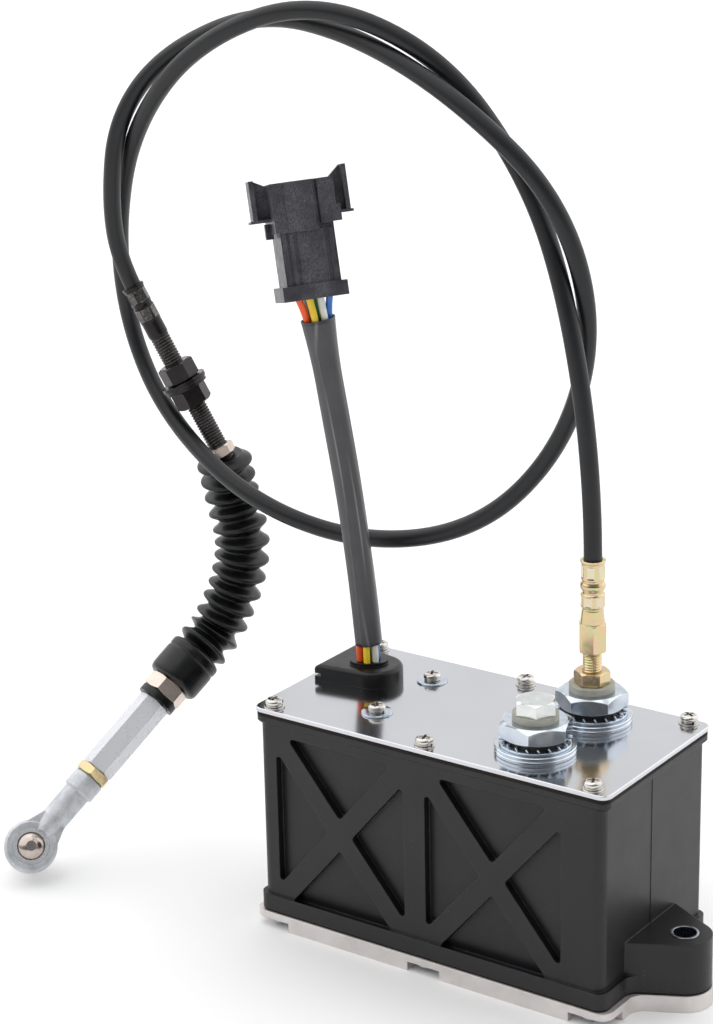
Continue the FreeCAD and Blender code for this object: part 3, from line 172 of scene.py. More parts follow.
def reckon(tree, operation, first, second, **settings):
    """Result of one step of arithmetic."""
    return add(tree, "ShaderNodeMath", {0: first, 1: second}, operation=operation, **settings).outputs[0]


def make_mottle():
    """Slow changes of colour and roughness over a surface."""
    tree, start, end = shader_group(
        "mottle",
        [("Vector", "Vector", None), ("Colour", "Color", None), ("Second Colour", "Color", None),
         ("Scale", "Float", 40.0), ("Amount", "Float", 0.5), ("Roughness", "Float", 0.4),
         ("Spread", "Float", 0.1)],
        [("Colour", "Color"), ("Roughness", "Float")])
    given = start.outputs
    cloud = noise(tree, given["Vector"], given["Scale"], 6.0, Roughness=0.62)
    weight = reckon(tree, "MULTIPLY", remap(tree, cloud, 0.36, 0.64), given["Amount"])
    mix = blend_colour(tree, weight, given["Colour"], given["Second Colour"])
    streak = noise(tree, given["Vector"], reckon(tree, "MULTIPLY", given["Scale"], 2.7), 4.0)
    offset = reckon(tree, "MULTIPLY", reckon(tree, "SUBTRACT", streak, 0.5), given["Spread"])
    rough = reckon(tree, "ADD", offset, given["Roughness"], use_clamp=True)
    tree.links.new(mix, end.inputs["Colour"])
    tree.links.new(rough, end.inputs["Roughness"])
    return tree


def raise_skin(tree, given, height):
    """Normal bent by a height, as strongly and deeply as the group's inputs say."""
    return add(tree, "ShaderNodeBump",
               {"Strength": given["Strength"], "Distance": given["Distance"], "Height": height,
                "Normal": given["Normal"]}).outputs["Normal"]


def make_grain():
    """Fine unevenness of a cast, moulded or painted skin."""
    tree, start, end = shader_group(
        "grain",
        [("Vector", "Vector", None), ("Scale", "Float", 900.0), ("Strength", "Float", 0.2),
         ("Distance", "Float", 0.0001), ("Normal", "Vector", None)],
        [("Normal", "Vector")])
    given = start.outputs
    points = noise(tree, given["Vector"], given["Scale"], 3.0)
    tree.links.new(raise_skin(tree, given, points), end.inputs["Normal"])
    return tree


def make_brushing():
    """Long fine scratches: noise stretched along one direction."""
    tree, start, end = shader_group(
        "brushing",
        [("Vector", "Vector", None), ("Stretch", "Vector", (20.0, 900.0, 900.0)), ("Strength", "Float", 0.2),
         ("Distance", "Float", 0.00003), ("Normal", "Vector", None)],
        [("Normal", "Vector")])
    given = start.outputs
    stretched = add(tree, "ShaderNodeMapping", {"Vector": given["Vector"], "Scale": given["Stretch"]})
    lines = noise(tree, stretched.outputs["Vector"], 1.0, 4.0)
    tree.links.new(raise_skin(tree, given, lines), end.inputs["Normal"])
    return tree


def make_edge_highlight():
    """Rounded shading at edges, and a broken mask along them that carries a painted edge highlight."""
    tree, start, end = shader_group(
        "soft edge and painted highlight",
        [("Vector", "Vector", None), ("Radius", "Float", 0.0004), ("Breaks", "Float", 260.0)],
        [("Normal", "Vector"), ("Mask", "Float")])
    given = start.outputs
    soft = add(tree, "ShaderNodeBevel", {"Radius": given["Radius"]}, samples=6)
    flat = add(tree, "ShaderNodeNewGeometry")
    across = add(tree, "ShaderNodeVectorMath", {0: soft.outputs["Normal"], 1: flat.outputs["True Normal"]},
                 operation="DOT_PRODUCT")
    bent = remap(tree, across.outputs["Value"], 0.985, 0.80)
    broken = remap(tree, noise(tree, given["Vector"], given["Breaks"], 5.0), 0.42, 0.62)
    tree.links.new(soft.outputs["Normal"], end.inputs["Normal"])
    tree.links.new(reckon(tree, "MULTIPLY", bent, broken), end.inputs["Mask"])
    return tree


def make_dust():
    """Sparse pale specks of dust and tiny scuffs."""
    tree, start, end = shader_group(
        "dust", [("Vector", "Vector", None), ("Scale", "Float", 380.0), ("Amount", "Float", 0.3)],
        [("Mask", "Float")])
    given = start.outputs
    cells = add(tree, "ShaderNodeTexVoronoi", {"Vector": given["Vector"], "Scale": given["Scale"]})
    speck = remap(tree, cells.outputs["Distance"], 0.13, 0.05)
    area = remap(tree, noise(tree, given["Vector"], 30.0, 3.0), 0.5, 0.7)
    mask = reckon(tree, "MULTIPLY", reckon(tree, "MULTIPLY", speck, area), given["Amount"])
    tree.links.new(mask, end.inputs["Mask"])
    return tree


mottle = make_mottle()
grain = make_grain()
brushing = make_brushing()
edge_highlight_group = make_edge_highlight()
dust = make_dust()


def screen(red, green, blue):
    """Linear colour of screen values from 0 to 255."""
    return tuple((c / 255.0) ** 2.2 for c in (red, green, blue)) + (1.0,)


def use(tree, group, inputs):
    """Group node with its inputs filled in."""
    return add(tree, "ShaderNodeGroup", inputs, node_tree=group)


def patches(tree, place, scale, amount, reverse=False):
    """Mask of soft patches, from the mottle's own noise."""
    black, white = (0, 0, 0, 1), (1, 1, 1, 1)
    return use(tree, mottle, {"Vector": place, "Colour": white if reverse else black,
                              "Second Colour": black if reverse else white, "Scale": scale,
                              "Amount": amount}).outputs["Colour"]


def finish(name, colour, second, roughness, metallic=0.0, spread=0.12, scale=45.0, amount=0.6,
           skin=(1100.0, 0.15, 0.00006), edge_radius=0.0003, edge_highlight_colour=None, edge_highlight_share=0.6,
           brushed=None, dusty=0.0, specular=0.5, stained=None, painted_light_and_marks=None, speckled=None):
    """Finish of one material: mottled colour, skin grain, softened edges with a painted highlight along them.

    Where given: brushed (stretch, strength), dusty (share of specks), stained (colour of a film),
    the mesh's painted shade, painted highlights and crimped spots (colour, how broken) and speckled (colour,
    fineness, share).
    """
    material = bpy.data.materials.new(name)
    material.use_nodes = True
    tree = material.node_tree
    shader = tree.nodes["Principled BSDF"]
    place = add(tree, "ShaderNodeTexCoord").outputs["Object"]
    edge = use(tree, edge_highlight_group, {"Vector": place, "Radius": edge_radius})
    base = use(tree, mottle, {"Vector": place, "Colour": colour, "Second Colour": second, "Scale": scale,
                              "Amount": amount, "Roughness": roughness, "Spread": spread})
    shade = base.outputs["Colour"]
    if stained:
        shade = blend_colour(tree, patches(tree, place, scale * 1.7, 0.8), shade, stained)
    if speckled:
        colour, points, share = speckled
        mask = reckon(tree, "MULTIPLY", patches(tree, place, SPECKLED_AREAS, share),
                      patches(tree, place, points, 0.8))
        shade = blend_colour(tree, mask, shade, colour)
    # Painted light from the mesh attribute: painted shade in the screw recesses, painted highlights on the
    # sleeve's creases and the thread's crests; crimped spots show lighter.
    if painted_light_and_marks:
        colour, breaks = painted_light_and_marks
        drawn = add(tree, "ShaderNodeAttribute", attribute_name=LIGHT_AND_MARKS_ATTRIBUTE).outputs["Fac"]
        mask = reckon(tree, "MULTIPLY", drawn, patches(tree, place, LIGHT_AND_MARK_BREAKS, breaks, reverse=True))
        shade = blend_colour(tree, mask, shade, colour)
    # Painted highlight: a lighter colour along the edges, broken into patches.
    if edge_highlight_colour:
        edge_highlight = reckon(tree, "MULTIPLY", edge.outputs["Mask"], edge_highlight_share)
        shade = blend_colour(tree, edge_highlight, shade, edge_highlight_colour)
    if dusty:
        specks = use(tree, dust, {"Vector": place, "Amount": dusty})
        shade = blend_colour(tree, specks.outputs["Mask"], shade, DUST_COLOUR)
    normal = edge.outputs["Normal"]
    if brushed:
        stretch, strength = brushed
        normal = use(tree, brushing, {"Vector": place, "Stretch": stretch, "Strength": strength,
                                      "Normal": normal}).outputs["Normal"]
    skin_scale, strength, distance = skin
    bumpy = use(tree, grain, {"Vector": place, "Scale": skin_scale, "Strength": strength, "Distance": distance,
                              "Normal": normal})
    tree.links.new(shade, shader.inputs["Base Color"])
    tree.links.new(base.outputs["Roughness"], shader.inputs["Roughness"])
    tree.links.new(bumpy.outputs["Normal"], shader.inputs["Normal"])
    shader.inputs["Metallic"].default_value = metallic
    shader.inputs["Specular IOR Level"].default_value = specular
    return material


DUST_COLOUR = (0.5, 0.5, 0.48, 1.0)
SPECKLED_AREAS = 70.0
# Scale of the patches that break up the attribute's painted light and crimped spots, and the attribute's name.
LIGHT_AND_MARK_BREAKS = 900.0
LIGHT_AND_MARKS_ATTRIBUTE = "light_and_marks"
# The edge colour of each finish is a painted highlight along its edges.
finishes = {
    "case_paint": finish("case_paint", screen(22, 22, 24), screen(32, 32, 35), 0.40, spread=0.16, scale=28.0,
                         skin=(1500.0, 0.22, 0.00005), edge_radius=0.0007, edge_highlight_colour=screen(88, 88, 92),
                         edge_highlight_share=0.35, dusty=0.12, specular=0.45),
    "cast_aluminium": finish("cast_aluminium", screen(230, 225, 223), screen(206, 200, 197), 0.46,
                             metallic=0.7, spread=0.2, scale=60.0, skin=(700.0, 0.5, 0.00018),
                             edge_radius=0.0006, edge_highlight_colour=screen(240, 237, 234)),
    "cover_steel": finish("cover_steel", screen(207, 208, 212), screen(196, 197, 201), 0.14, metallic=1.0,
                          spread=0.08, scale=9.0, skin=(500.0, 0.03, 0.00004), edge_radius=0.0003,
                          edge_highlight_colour=screen(226, 226, 228), brushed=((12.0, 900.0, 900.0), 0.035)),
    "gasket": finish("gasket", screen(30, 25, 24), screen(48, 36, 32), 0.8, skin=(900.0, 0.5, 0.0001),
                     specular=0.3),
    # Painted shade: a darker colour in the cross recesses and under the heads.
    "screw_nickel": finish("screw_nickel", screen(214, 211, 206), screen(186, 182, 176), 0.18, metallic=1.0,
                           scale=180.0, edge_highlight_colour=screen(240, 238, 234), edge_radius=0.00012,
                           painted_light_and_marks=(screen(66, 64, 62), 0.3)),
    "zinc": finish("zinc", screen(206, 214, 222), screen(176, 186, 198), 0.17, metallic=1.0, scale=90.0,
                   skin=(900.0, 0.2, 0.00006), edge_highlight_colour=screen(240, 243, 247), edge_radius=0.00035),
    "zinc_pale": finish("zinc_pale", screen(222, 225, 222), screen(192, 198, 198), 0.2, metallic=1.0,
                        scale=110.0, edge_highlight_colour=screen(244, 245, 242), edge_radius=0.00035),
    "zinc_yellow": finish("zinc_yellow", screen(210, 190, 136), screen(186, 200, 144), 0.18, metallic=1.0,
                          scale=210.0, amount=0.9, spread=0.2, skin=(1200.0, 0.15, 0.00005),
                          edge_highlight_colour=screen(238, 230, 200), edge_radius=0.0003, stained=screen(220, 180, 160),
                          painted_light_and_marks=(screen(214, 214, 200), 0.35)),
    "seal_grey": finish("seal_grey", screen(172, 172, 160), screen(142, 142, 132), 0.5, scale=120.0,
                        skin=(1000.0, 0.4, 0.0001), edge_highlight_colour=screen(196, 196, 186)),
    "rubber": finish("rubber", screen(12, 13, 15), screen(22, 23, 26), 0.33, spread=0.3, scale=70.0,
                     skin=(1100.0, 0.35, 0.00008), edge_radius=0.0005, edge_highlight_colour=screen(74, 76, 80),
                     edge_highlight_share=0.35, dusty=0.15, specular=0.42),
    # Painted highlight: a lighter colour along the tubing's creases.
    "sleeve": finish("sleeve", screen(73, 72, 75), screen(60, 60, 63), 0.36, spread=0.25, scale=40.0,
                     skin=(1300.0, 0.2, 0.00006), edge_highlight_colour=screen(112, 112, 114), dusty=0.12,
                     painted_light_and_marks=(screen(136, 134, 136), 0.25)),
    "conduit": finish("conduit", screen(24, 25, 28), screen(33, 34, 37), 0.40, spread=0.16, scale=30.0,
                      skin=(1600.0, 0.18, 0.00004), dusty=0.1, specular=0.42),
    "connector": finish("connector", screen(70, 69, 74), screen(50, 49, 54), 0.34, spread=0.3, scale=120.0,
                        amount=0.8, skin=(900.0, 0.6, 0.0001), edge_radius=0.0005,
                        edge_highlight_colour=screen(122, 122, 127), edge_highlight_share=0.5, dusty=0.1, specular=0.32,
                        speckled=(screen(128, 126, 132), 1300.0, 0.7)),
    "contact": finish("contact", screen(206, 182, 118), screen(186, 160, 98), 0.25, metallic=1.0, scale=200.0),
    # Painted highlight on the tube's thread crests; crimped spots lighter.
    "black_steel": finish("black_steel", screen(42, 38, 38), screen(30, 28, 29), 0.24, metallic=0.6,
                          scale=120.0, spread=0.2, edge_radius=0.00025, edge_highlight_colour=screen(176, 172, 168),
                          edge_highlight_share=0.75, painted_light_and_marks=(screen(140, 137, 133), 0.9)),
    "bronze": finish("bronze", screen(214, 199, 188), screen(190, 174, 164), 0.22, metallic=0.9, scale=150.0,
                     edge_highlight_colour=screen(236, 228, 220), edge_radius=0.0003,
                     brushed=((700.0, 700.0, 60.0), 0.12)),
    "machined_aluminium": finish("machined_aluminium", screen(226, 228, 233), screen(218, 220, 225), 0.28,
                                 metallic=0.25, scale=60.0, amount=0.4, skin=(1500.0, 0.1, 0.00004),
                                 edge_radius=0.0003),
    "cast_zinc": finish("cast_zinc", screen(214, 217, 221), screen(170, 174, 180), 0.32, metallic=0.25,
                        scale=160.0, amount=0.8, spread=0.25, skin=(800.0, 0.7, 0.0002), edge_radius=0.0006,
                        edge_highlight_colour=screen(232, 234, 238)),
    "ball_nickel": finish("ball_nickel", screen(196, 184, 178), screen(168, 154, 146), 0.2, metallic=1.0,
                          scale=140.0, edge_highlight_colour=screen(225, 222, 216)),
    "steel": finish("steel", screen(222, 223, 226), screen(198, 200, 204), 0.28, metallic=0.5, scale=120.0,
                    edge_highlight_colour=screen(236, 237, 238)),
    "gear_brass": finish("gear_brass", screen(204, 176, 112), screen(178, 148, 88), 0.3, metallic=1.0,
                         scale=110.0, edge_highlight_colour=screen(234, 214, 164)),
    "motor_steel": finish("motor_steel", screen(178, 179, 182), screen(158, 159, 163), 0.3, metallic=1.0,
                          scale=70.0, brushed=((900.0, 25.0, 25.0), 0.1)),
    "armature": finish("armature", screen(150, 118, 92), screen(110, 84, 64), 0.4, metallic=0.7, scale=200.0),
    "sensor": finish("sensor", screen(48, 58, 78), screen(40, 48, 64), 0.45, scale=90.0),
}
wire_colours = {
    "orange": (screen(250, 96, 38), screen(236, 80, 28)),
    "yellow": (screen(250, 212, 48), screen(240, 196, 36)),
    "green": (screen(56, 140, 80), screen(46, 120, 68)),
    "white": (screen(234, 234, 228), screen(216, 216, 208)),
    "grey": (screen(150, 151, 154), screen(134, 135, 138)),
    "black": (screen(30, 30, 32), screen(40, 40, 42)),
    "blue": (screen(62, 128, 208), screen(50, 108, 190)),
}
for wire, (colour, second) in wire_colours.items():
    finishes["wire_" + wire] = finish("wire_" + wire, colour, second, 0.36, spread=0.1, scale=160.0,
                                      skin=(1400.0, 0.1, 0.00004))


# Shape helpers

def in_scene(name, data):
    """New object of the data, linked into the scene."""
    obj = bpy.data.objects.new(name, data)
    bpy.context.scene.collection.objects.link(obj)
    return obj


def settle(name, mesh, material, body, smooth_angle=None):
    """Object at the origin that rides on a body and takes its finish."""
    obj = in_scene(name, mesh)
    mesh.materials.clear()
    mesh.materials.append(finishes[material])
    for face in mesh.polygons:
        face.use_smooth = True
        face.material_index = 0
    if smooth_angle is not None:
        mesh.set_sharp_from_angle(angle=math.radians(smooth_angle))
    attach(obj, body)
    return obj


def frame_of(at, axis, side=None):
    """Matrix that carries local Z to the axis and, when given, local Y towards side."""
    z = Vector(axis).normalized()
    if side is None:
        turn = UP.rotation_difference(z).to_matrix().to_4x4()
    else:
        x = Vector(side).cross(z).normalized()
        y = z.cross(x)
        turn = Matrix((x, y, z)).transposed().to_4x4()
    return Matrix.Translation(at) @ turn


def bent_line(points, steps=10):
    """Straight runs joined by tangent arcs, as in the part's source."""
    pts = [Vector(p) for p in points]
    line = [pts[0]]
    for a, b, c in zip(pts, pts[1:], pts[2:]):
        back = (a - b)
        ahead = (c - b)
        cut = 0.45 * min(back.length, ahead.length)
        back.normalize()
        ahead.normalize()
        turn = math.pi - back.angle(ahead)
        radius = cut / math.tan(turn / 2)
        centre = b + (back + ahead).normalized() * (radius / math.cos(turn / 2))
        p = b + back * cut - centre
        q = b + ahead * cut - centre
        for k in range(steps + 1):
            t = k / steps
            line.append(centre + (p * math.sin((1 - t) * turn) + q * math.sin(t * turn)) / math.sin(turn))
    line.append(pts[-1])
    return line


def even_line(line, step):
    """The same line with evenly spaced points, and its length."""
    lengths = [0.0]
    for a, b in zip(line, line[1:]):
        lengths.append(lengths[-1] + (b - a).length)
    total = lengths[-1]
    count = max(2, int(round(total / step)))
    out = []
    k = 0
    for n in range(count + 1):
        s = total * n / count
        while k < len(lengths) - 2 and lengths[k + 1] < s:
            k += 1
        span = lengths[k + 1] - lengths[k]
        out.append(line[k].lerp(line[k + 1], (s - lengths[k]) / span if span else 0.0))
    return out, total


def carried_frames(line):
    """Side and up directions carried along a line without twist."""
    tangents = []
    for k in range(len(line)):
        a = line[max(0, k - 1)]
        b = line[min(len(line) - 1, k + 1)]
        tangents.append((b - a).normalized())
    side = tangents[0].orthogonal().normalized()
    frames = []
    for k, t in enumerate(tangents):
        if k:
            side = (tangents[k - 1].rotation_difference(t) @ side).normalized()
        frames.append((side, t.cross(side)))
    return frames


def loft(name, rings, closed=False):
    """Mesh through rings of equal count; ends are capped unless the rings close on themselves."""
    count = len(rings[0])
    verts = [tuple(p * MM) for ring in rings for p in ring]
    faces = []
    last = len(rings) if closed else len(rings) - 1
    for k in range(last):
        a, b = k * count, ((k + 1) % len(rings)) * count
        for n in range(count):
            m = (n + 1) % count
            faces.append((a + n, a + m, b + m, b + n))
    if not closed:
        faces.append(tuple(reversed(range(count))))
        faces.append(tuple(range((len(rings) - 1) * count, len(rings) * count)))
    mesh = bpy.data.meshes.new(name)
    mesh.from_pydata(verts, [], faces)
    mesh.update()
    return mesh


def hoop(centre, side, up, r, around):
    """Circle of points in the plane of two directions."""
    angles = [2 * math.pi * n / around for n in range(around)]
    return [centre + side * (r * math.cos(a)) + up * (r * math.sin(a)) for a in angles]


def turned_rings(place, heights, radius, around=72):
    """Rings about a placed Z axis; radius(z, angle) gives the outline."""
    rings = []
    for z in heights:
        ring = []
        for n in range(around):
            a = 2 * math.pi * n / around
            r = radius(z, a)
            ring.append(place @ Vector((r * math.cos(a), r * math.sin(a), z)))
        rings.append(ring)
    return rings


def hex_radius(flats, angle, turn=0.0):
    """Outline of a hexagon with a corner at the turn angle."""
    local = (angle - math.radians(turn)) % (math.pi / 3) - math.pi / 6
    return flats / 2 / math.cos(local)


def between(profile, z):
    """Radius at height z on a list of (radius, height) points."""
    for (r0, z0), (r1, z1) in zip(profile, profile[1:]):
        if z0 <= z <= z1:
            return r0 + (r1 - r0) * ((z - z0) / (z1 - z0) if z1 > z0 else 0.0)
    return profile[-1][0] if z > profile[-1][1] else profile[0][0]


def write_light_and_marks(mesh, values):
    """Values from 0 to 1 that the finish shows in a colour of their own: painted shade, painted highlights and
    crimped spots.
    """
    layer = mesh.attributes.new(LIGHT_AND_MARKS_ATTRIBUTE, "FLOAT", "POINT")
    for mark, value in zip(layer.data, values):
        mark.value = value


def mark_crimps_and_crest_highlights(mesh, place, profile, bands, thread_from=0.0):
    """Marks the points that the crimping tool has pressed in, shown lighter, and the thread's crests, which
    get a painted highlight.
    """
    back = place.inverted()
    values = []
    for vertex in mesh.vertices:
        at = back @ (vertex.co / MM)
        r = math.hypot(at.x, at.y)
        # Painted highlight on the thread's crests.
        if thread_from and at.z > thread_from + 1 and r > 4:
            values.append(0.5 * max(0.0, 1 - (TUBE_R - r) / 0.12))
            continue
        pressed = any(low < at.z < high for low, high, *_ in bands) and r > CONDUIT_R + 0.2
        values.append(0.6 if pressed and r < between(profile, at.z) - 0.06 else 0.0)
    write_light_and_marks(mesh, values)


def pressed_radius(r, z, angle, bands, flats, ramp_long):
    """Radius with the crimping tool's flats pressed in over the bands of heights."""
    for (low, high, turn), across in zip(bands, flats):
        if low <= z <= high:
            ramp = min(1.0, (z - low) / ramp_long, (high - z) / ramp_long)
            r = min(r, r + (hex_radius(across, angle, turn) - r) * ramp)
    return r


def thread_drop(z, angle, pitch, depth):
    """How far a right-hand thread sinks below its crest."""
    t = (z / pitch - angle / (2 * math.pi)) % 1.0
    return depth * min(1.0, max(0.0, (abs(t - 0.5) * 2 - 0.12) / 0.76))


def spaced(low, high, step):
    """Heights from low to high, about a step apart."""
    count = max(1, int(round((high - low) / step)))
    return [low + (high - low) * k / count for k in range(count + 1)]


# Cables and wires

def nurbs_cord(name, points, radius, material):
    """Round cord on the route's own control points."""
    curve = bpy.data.curves.new(name, "CURVE")
    curve.dimensions = "3D"
    spline = curve.splines.new("NURBS")
    spline.points.add(len(points) - 1)
    for point, at in zip(spline.points, points):
        point.co = (at[0] * MM, at[1] * MM, at[2] * MM, 1.0)
    spline.order_u = 3
    spline.use_endpoint_u = True
    spline.resolution_u = 14
    curve.bevel_depth = radius * MM
    curve.bevel_resolution = 7
    curve.use_fill_caps = True
    curve.materials.append(finishes[material])
    obj = in_scene(name, curve)
    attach(obj, "housing")
    return obj


def line_length(points):
    """Length of a route with its corners rounded."""
    return even_line(bent_line(points), 1.0)[1]


def make_conduit():
    """The cable's casing, from the fitting round its loops to the crimped sleeve."""
    cord = nurbs_cord("cable_conduit", CONDUIT_ROUTE, CONDUIT_R, "conduit")
    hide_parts("conduit")
    return cord


def make_wires():
    """Seven leads from the grommet, up through the sleeve and into the plug's seal."""
    wires = []
    below, top = Vector(SLEEVE_ROUTE[-2]), Vector(SLEEVE_ROUTE[-1])
    fan = top + (top - below).normalized() * WIRE_FAN
    shared = [Vector((HARNESS[0], HARNESS[1], WIRE_BOTTOM))] + [Vector(p) for p in SLEEVE_ROUTE[:-1]] + [fan]
    plug_place = frame_of(PLUG_AT, PLUG_AXIS, PLUG_BACK)
    for wire, (angle, (across, row)) in LEADS.items():
        offset = Vector((0, 0, 0))
        if angle is not None:
            offset = Vector((math.cos(math.radians(angle)), math.sin(math.radians(angle)), 0)) * WIRE_RING_R
        end = plug_place @ Vector((across * PIN_PITCH, row * PIN_ROW, WIRE_END_DEEP))
        points = [tuple(p + offset) for p in shared] + [tuple(end)]
        lead = nurbs_cord("lead_" + wire, points, WIRE_R, "wire_" + wire)
        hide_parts("wire_" + wire)
        wires.append((lead, points))
    return wires


def make_sleeve():
    """Thin tubing drawn down over the leads, so their shapes show through it in long soft folds, with painted
    highlights along the creases.
    """
    line, total = even_line(bent_line(SLEEVE_ROUTE), 2.0)
    frames = carried_frames(line)
    outer, inner = [], []
    around = 120
    # Long folds over the leads: angle seen from above, and height
    creases = [(-1.36, 0.30), (-0.62, 0.24), (0.5, 0.22), (1.7, 0.26), (2.75, 0.24)]
    across = PLUG_BACK.cross(PLUG_AXIS).normalized()
    painted_highlight = []
    for k, (at, (side, up)) in enumerate(zip(line, frames)):
        s = k / (len(line) - 1)
        mouth = max(0.0, 1 - (1 - s) * 9)
        flare = SLEEVE_FLARE * max(0.0, 1 - (1 - s) * 5.5) ** 1.6
        foot = max(0.0, 1 - s * 6)
        ring_out, ring_in = [], []
        for n in range(around):
            a = 2 * math.pi * n / around
            direction = side * math.cos(a) + up * math.sin(a)
            seen = math.atan2(direction.y, direction.x)
            fold = 0.09 * math.cos(6 * seen + 1.1 * s) + 0.06 * math.sin(2 * seen + 9 * s)
            # Painted highlight: lighter lines along the crease ridges, near the mouth and near the foot.
            light = 0.0
            for angle, rise in creases:
                away = (seen - angle - 0.10 * math.sin(5 * s + angle) + math.pi) % (2 * math.pi) - math.pi
                along = 0.75 + 0.25 * math.sin(11 * s + angle)
                fold += rise * math.exp(-(away / (0.075 + 0.05 * mouth)) ** 2) * along
                light += math.exp(-(away / 0.05) ** 2) * max(0.0, math.sin(7 * s + 2 * angle)) ** 1.5
            light += math.exp(-((seen + 1.05 + 0.5 * (1 - mouth)) / 0.10) ** 2) * mouth
            light += 0.7 * math.exp(-((seen + 1.25 - 0.3 * foot) / 0.08) ** 2) * foot
            painted_highlight.append(min(1.0, light))
            wide = flare * direction.dot(across) ** 2
            r = min(SLEEVE_R, SLEEVE_ROOT_R + fold + 0.1 * mouth) + wide
            ring_out.append(at + direction * r)
            ring_in.append(at + direction * min(SLEEVE_BORE_R + wide, r - 0.25))
        outer.append(ring_out)
        inner.append(ring_in)
    mesh = loft("harness_tubing", outer + inner[::-1], closed=True)
    write_light_and_marks(mesh, painted_highlight)
    tubing = settle("harness_tubing", mesh, "sleeve", "housing")
    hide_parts("harness_sleeve")
    return tubing, line, total


# Bellows and cable end

def make_bellows():
    """Ridged boot: threaded tail, thirteen rounded ridges and a cup over the rod's end."""
    rod_place = frame_of(EYE_AT, ROD_AXIS, STUD_SIDE)
    tube_place = frame_of(TUBE_AT, TUBE_AXIS)
    cup_top = CUP_END - 1.5
    low = rod_place @ Vector((0, 0, cup_top))
    high = tube_place @ Vector((0, 0, BELLOWS_TOP))
    bends, ridges_long = even_line(bent_line([tuple(low)] + BELLOWS_BENDS + [tuple(high)], 14), 0.36)
    cup_base = rod_place @ Vector((0, 0, LOCK_NUT_END))
    stem, cup_long = even_line([cup_base, low], 0.6)
    line = stem[:-1] + bends
    frames = carried_frames(line)
    pitch = ridges_long / BELLOWS_RIDGES
    cup = [(CUP_R - 1.9, 0.0), (CUP_R - 1.2, 0.25), (CUP_R - 0.35, 1.4), (CUP_R - 0.08, 2.8), (CUP_R, 5.0),
           (CUP_R, 14.6), (CUP_R - 0.45, 15.2), (CUP_R - 0.45, 15.8), (CUP_R - 0.05, 16.4), (CUP_R, 19.2),
           (CUP_R - 0.6, 20.2), (CUP_R - 2.8, cup_long - 0.2), (BELLOWS_ROOT_R, cup_long)]

    fold = [(BELLOWS_R, 0.0), (BELLOWS_R - 0.05, 0.05), (BELLOWS_R - 0.4, 0.10), (BELLOWS_R - 1.1, 0.16),
            (BELLOWS_R - 2.2, 0.24), (BELLOWS_ROOT_R + 0.9, 0.35), (BELLOWS_ROOT_R + 0.15, 0.45),
            (BELLOWS_ROOT_R, 0.5)]

    def outline(s):
        if s < cup_long:
            return between(cup, s)
        off = abs((s - cup_long) / pitch % 1.0 - 0.5)
        return between(fold, off)

    def bore(s):
        if s < 2.6:
            return PIN_R
        if s > cup_long + ridges_long - 2.2:
            return TUBE_R + 0.12
        return BELLOWS_BORE_R

    outer, inner = [], []
    along = 0.0
    around = 56
    for k, (at, (side, up)) in enumerate(zip(line, frames)):
        if k:
            along += (at - line[k - 1]).length
        outer.append(hoop(at, side, up, outline(along), around))
        inner.append(hoop(at, side, up, bore(along), around))
    mesh = loft("cable_bellows", outer + inner[::3][::-1], closed=True)
    boot = settle("cable_bellows", mesh, "rubber", "housing", 70)
    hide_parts("bellows")
    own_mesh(boot)
    core_low = rod_place @ Vector((0, 0, PIN_END))
    core_high = tube_place @ Vector((0, 0, TUBE_LENGTH))
    core_line, _ = even_line(bent_line([tuple(core_low)] + BELLOWS_BENDS + [tuple(core_high)], 12), 2.0)
    rings = [hoop(at, side, up, CORE_R, 12) for at, (side, up) in zip(core_line, carried_frames(core_line))]
    core = settle("cable_core", loft("cable_core", rings), "steel", "housing")
    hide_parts("core_wire")
    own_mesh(core)
    return boot


def make_cable_end():
    """Crimped sleeve running into the long threaded tube."""
    place = frame_of(TUBE_AT, TUBE_AXIS)
    bands = ((2.6, 8.8, 0), (12.2, 18.4, 12))

    def radius(z, a):
        if z <= CRIMP_LENGTH:
            r = between(CRIMP, z)
            return pressed_radius(r, z, a, bands, (9.3, 9.3), 0.4)
        fade = min(1.0, (z - CRIMP_LENGTH) / 1.0, (TUBE_LENGTH - z) / 0.8)
        return TUBE_R - thread_drop(z, a, 1.5, 0.5) * max(0.0, fade)

    heights = spaced(0.0, CRIMP_LENGTH, 0.25) + spaced(CRIMP_LENGTH + 0.2, TUBE_LENGTH, 0.21)
    outer = turned_rings(place, heights, radius, 48)
    inner = turned_rings(place, [TUBE_LENGTH, 5.0], lambda z, a: 1.8, 48)
    mouth = turned_rings(place, [5.0, 0.0], lambda z, a: CONDUIT_R + 0.05, 48)
    mesh = loft("cable_tube", outer + inner + mouth, closed=True)
    mark_crimps_and_crest_highlights(mesh, place, CRIMP, bands, CRIMP_LENGTH)
    tube = settle("cable_tube", mesh, "black_steel", "housing", 40)
    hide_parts("cable_end_tube")
    return tube


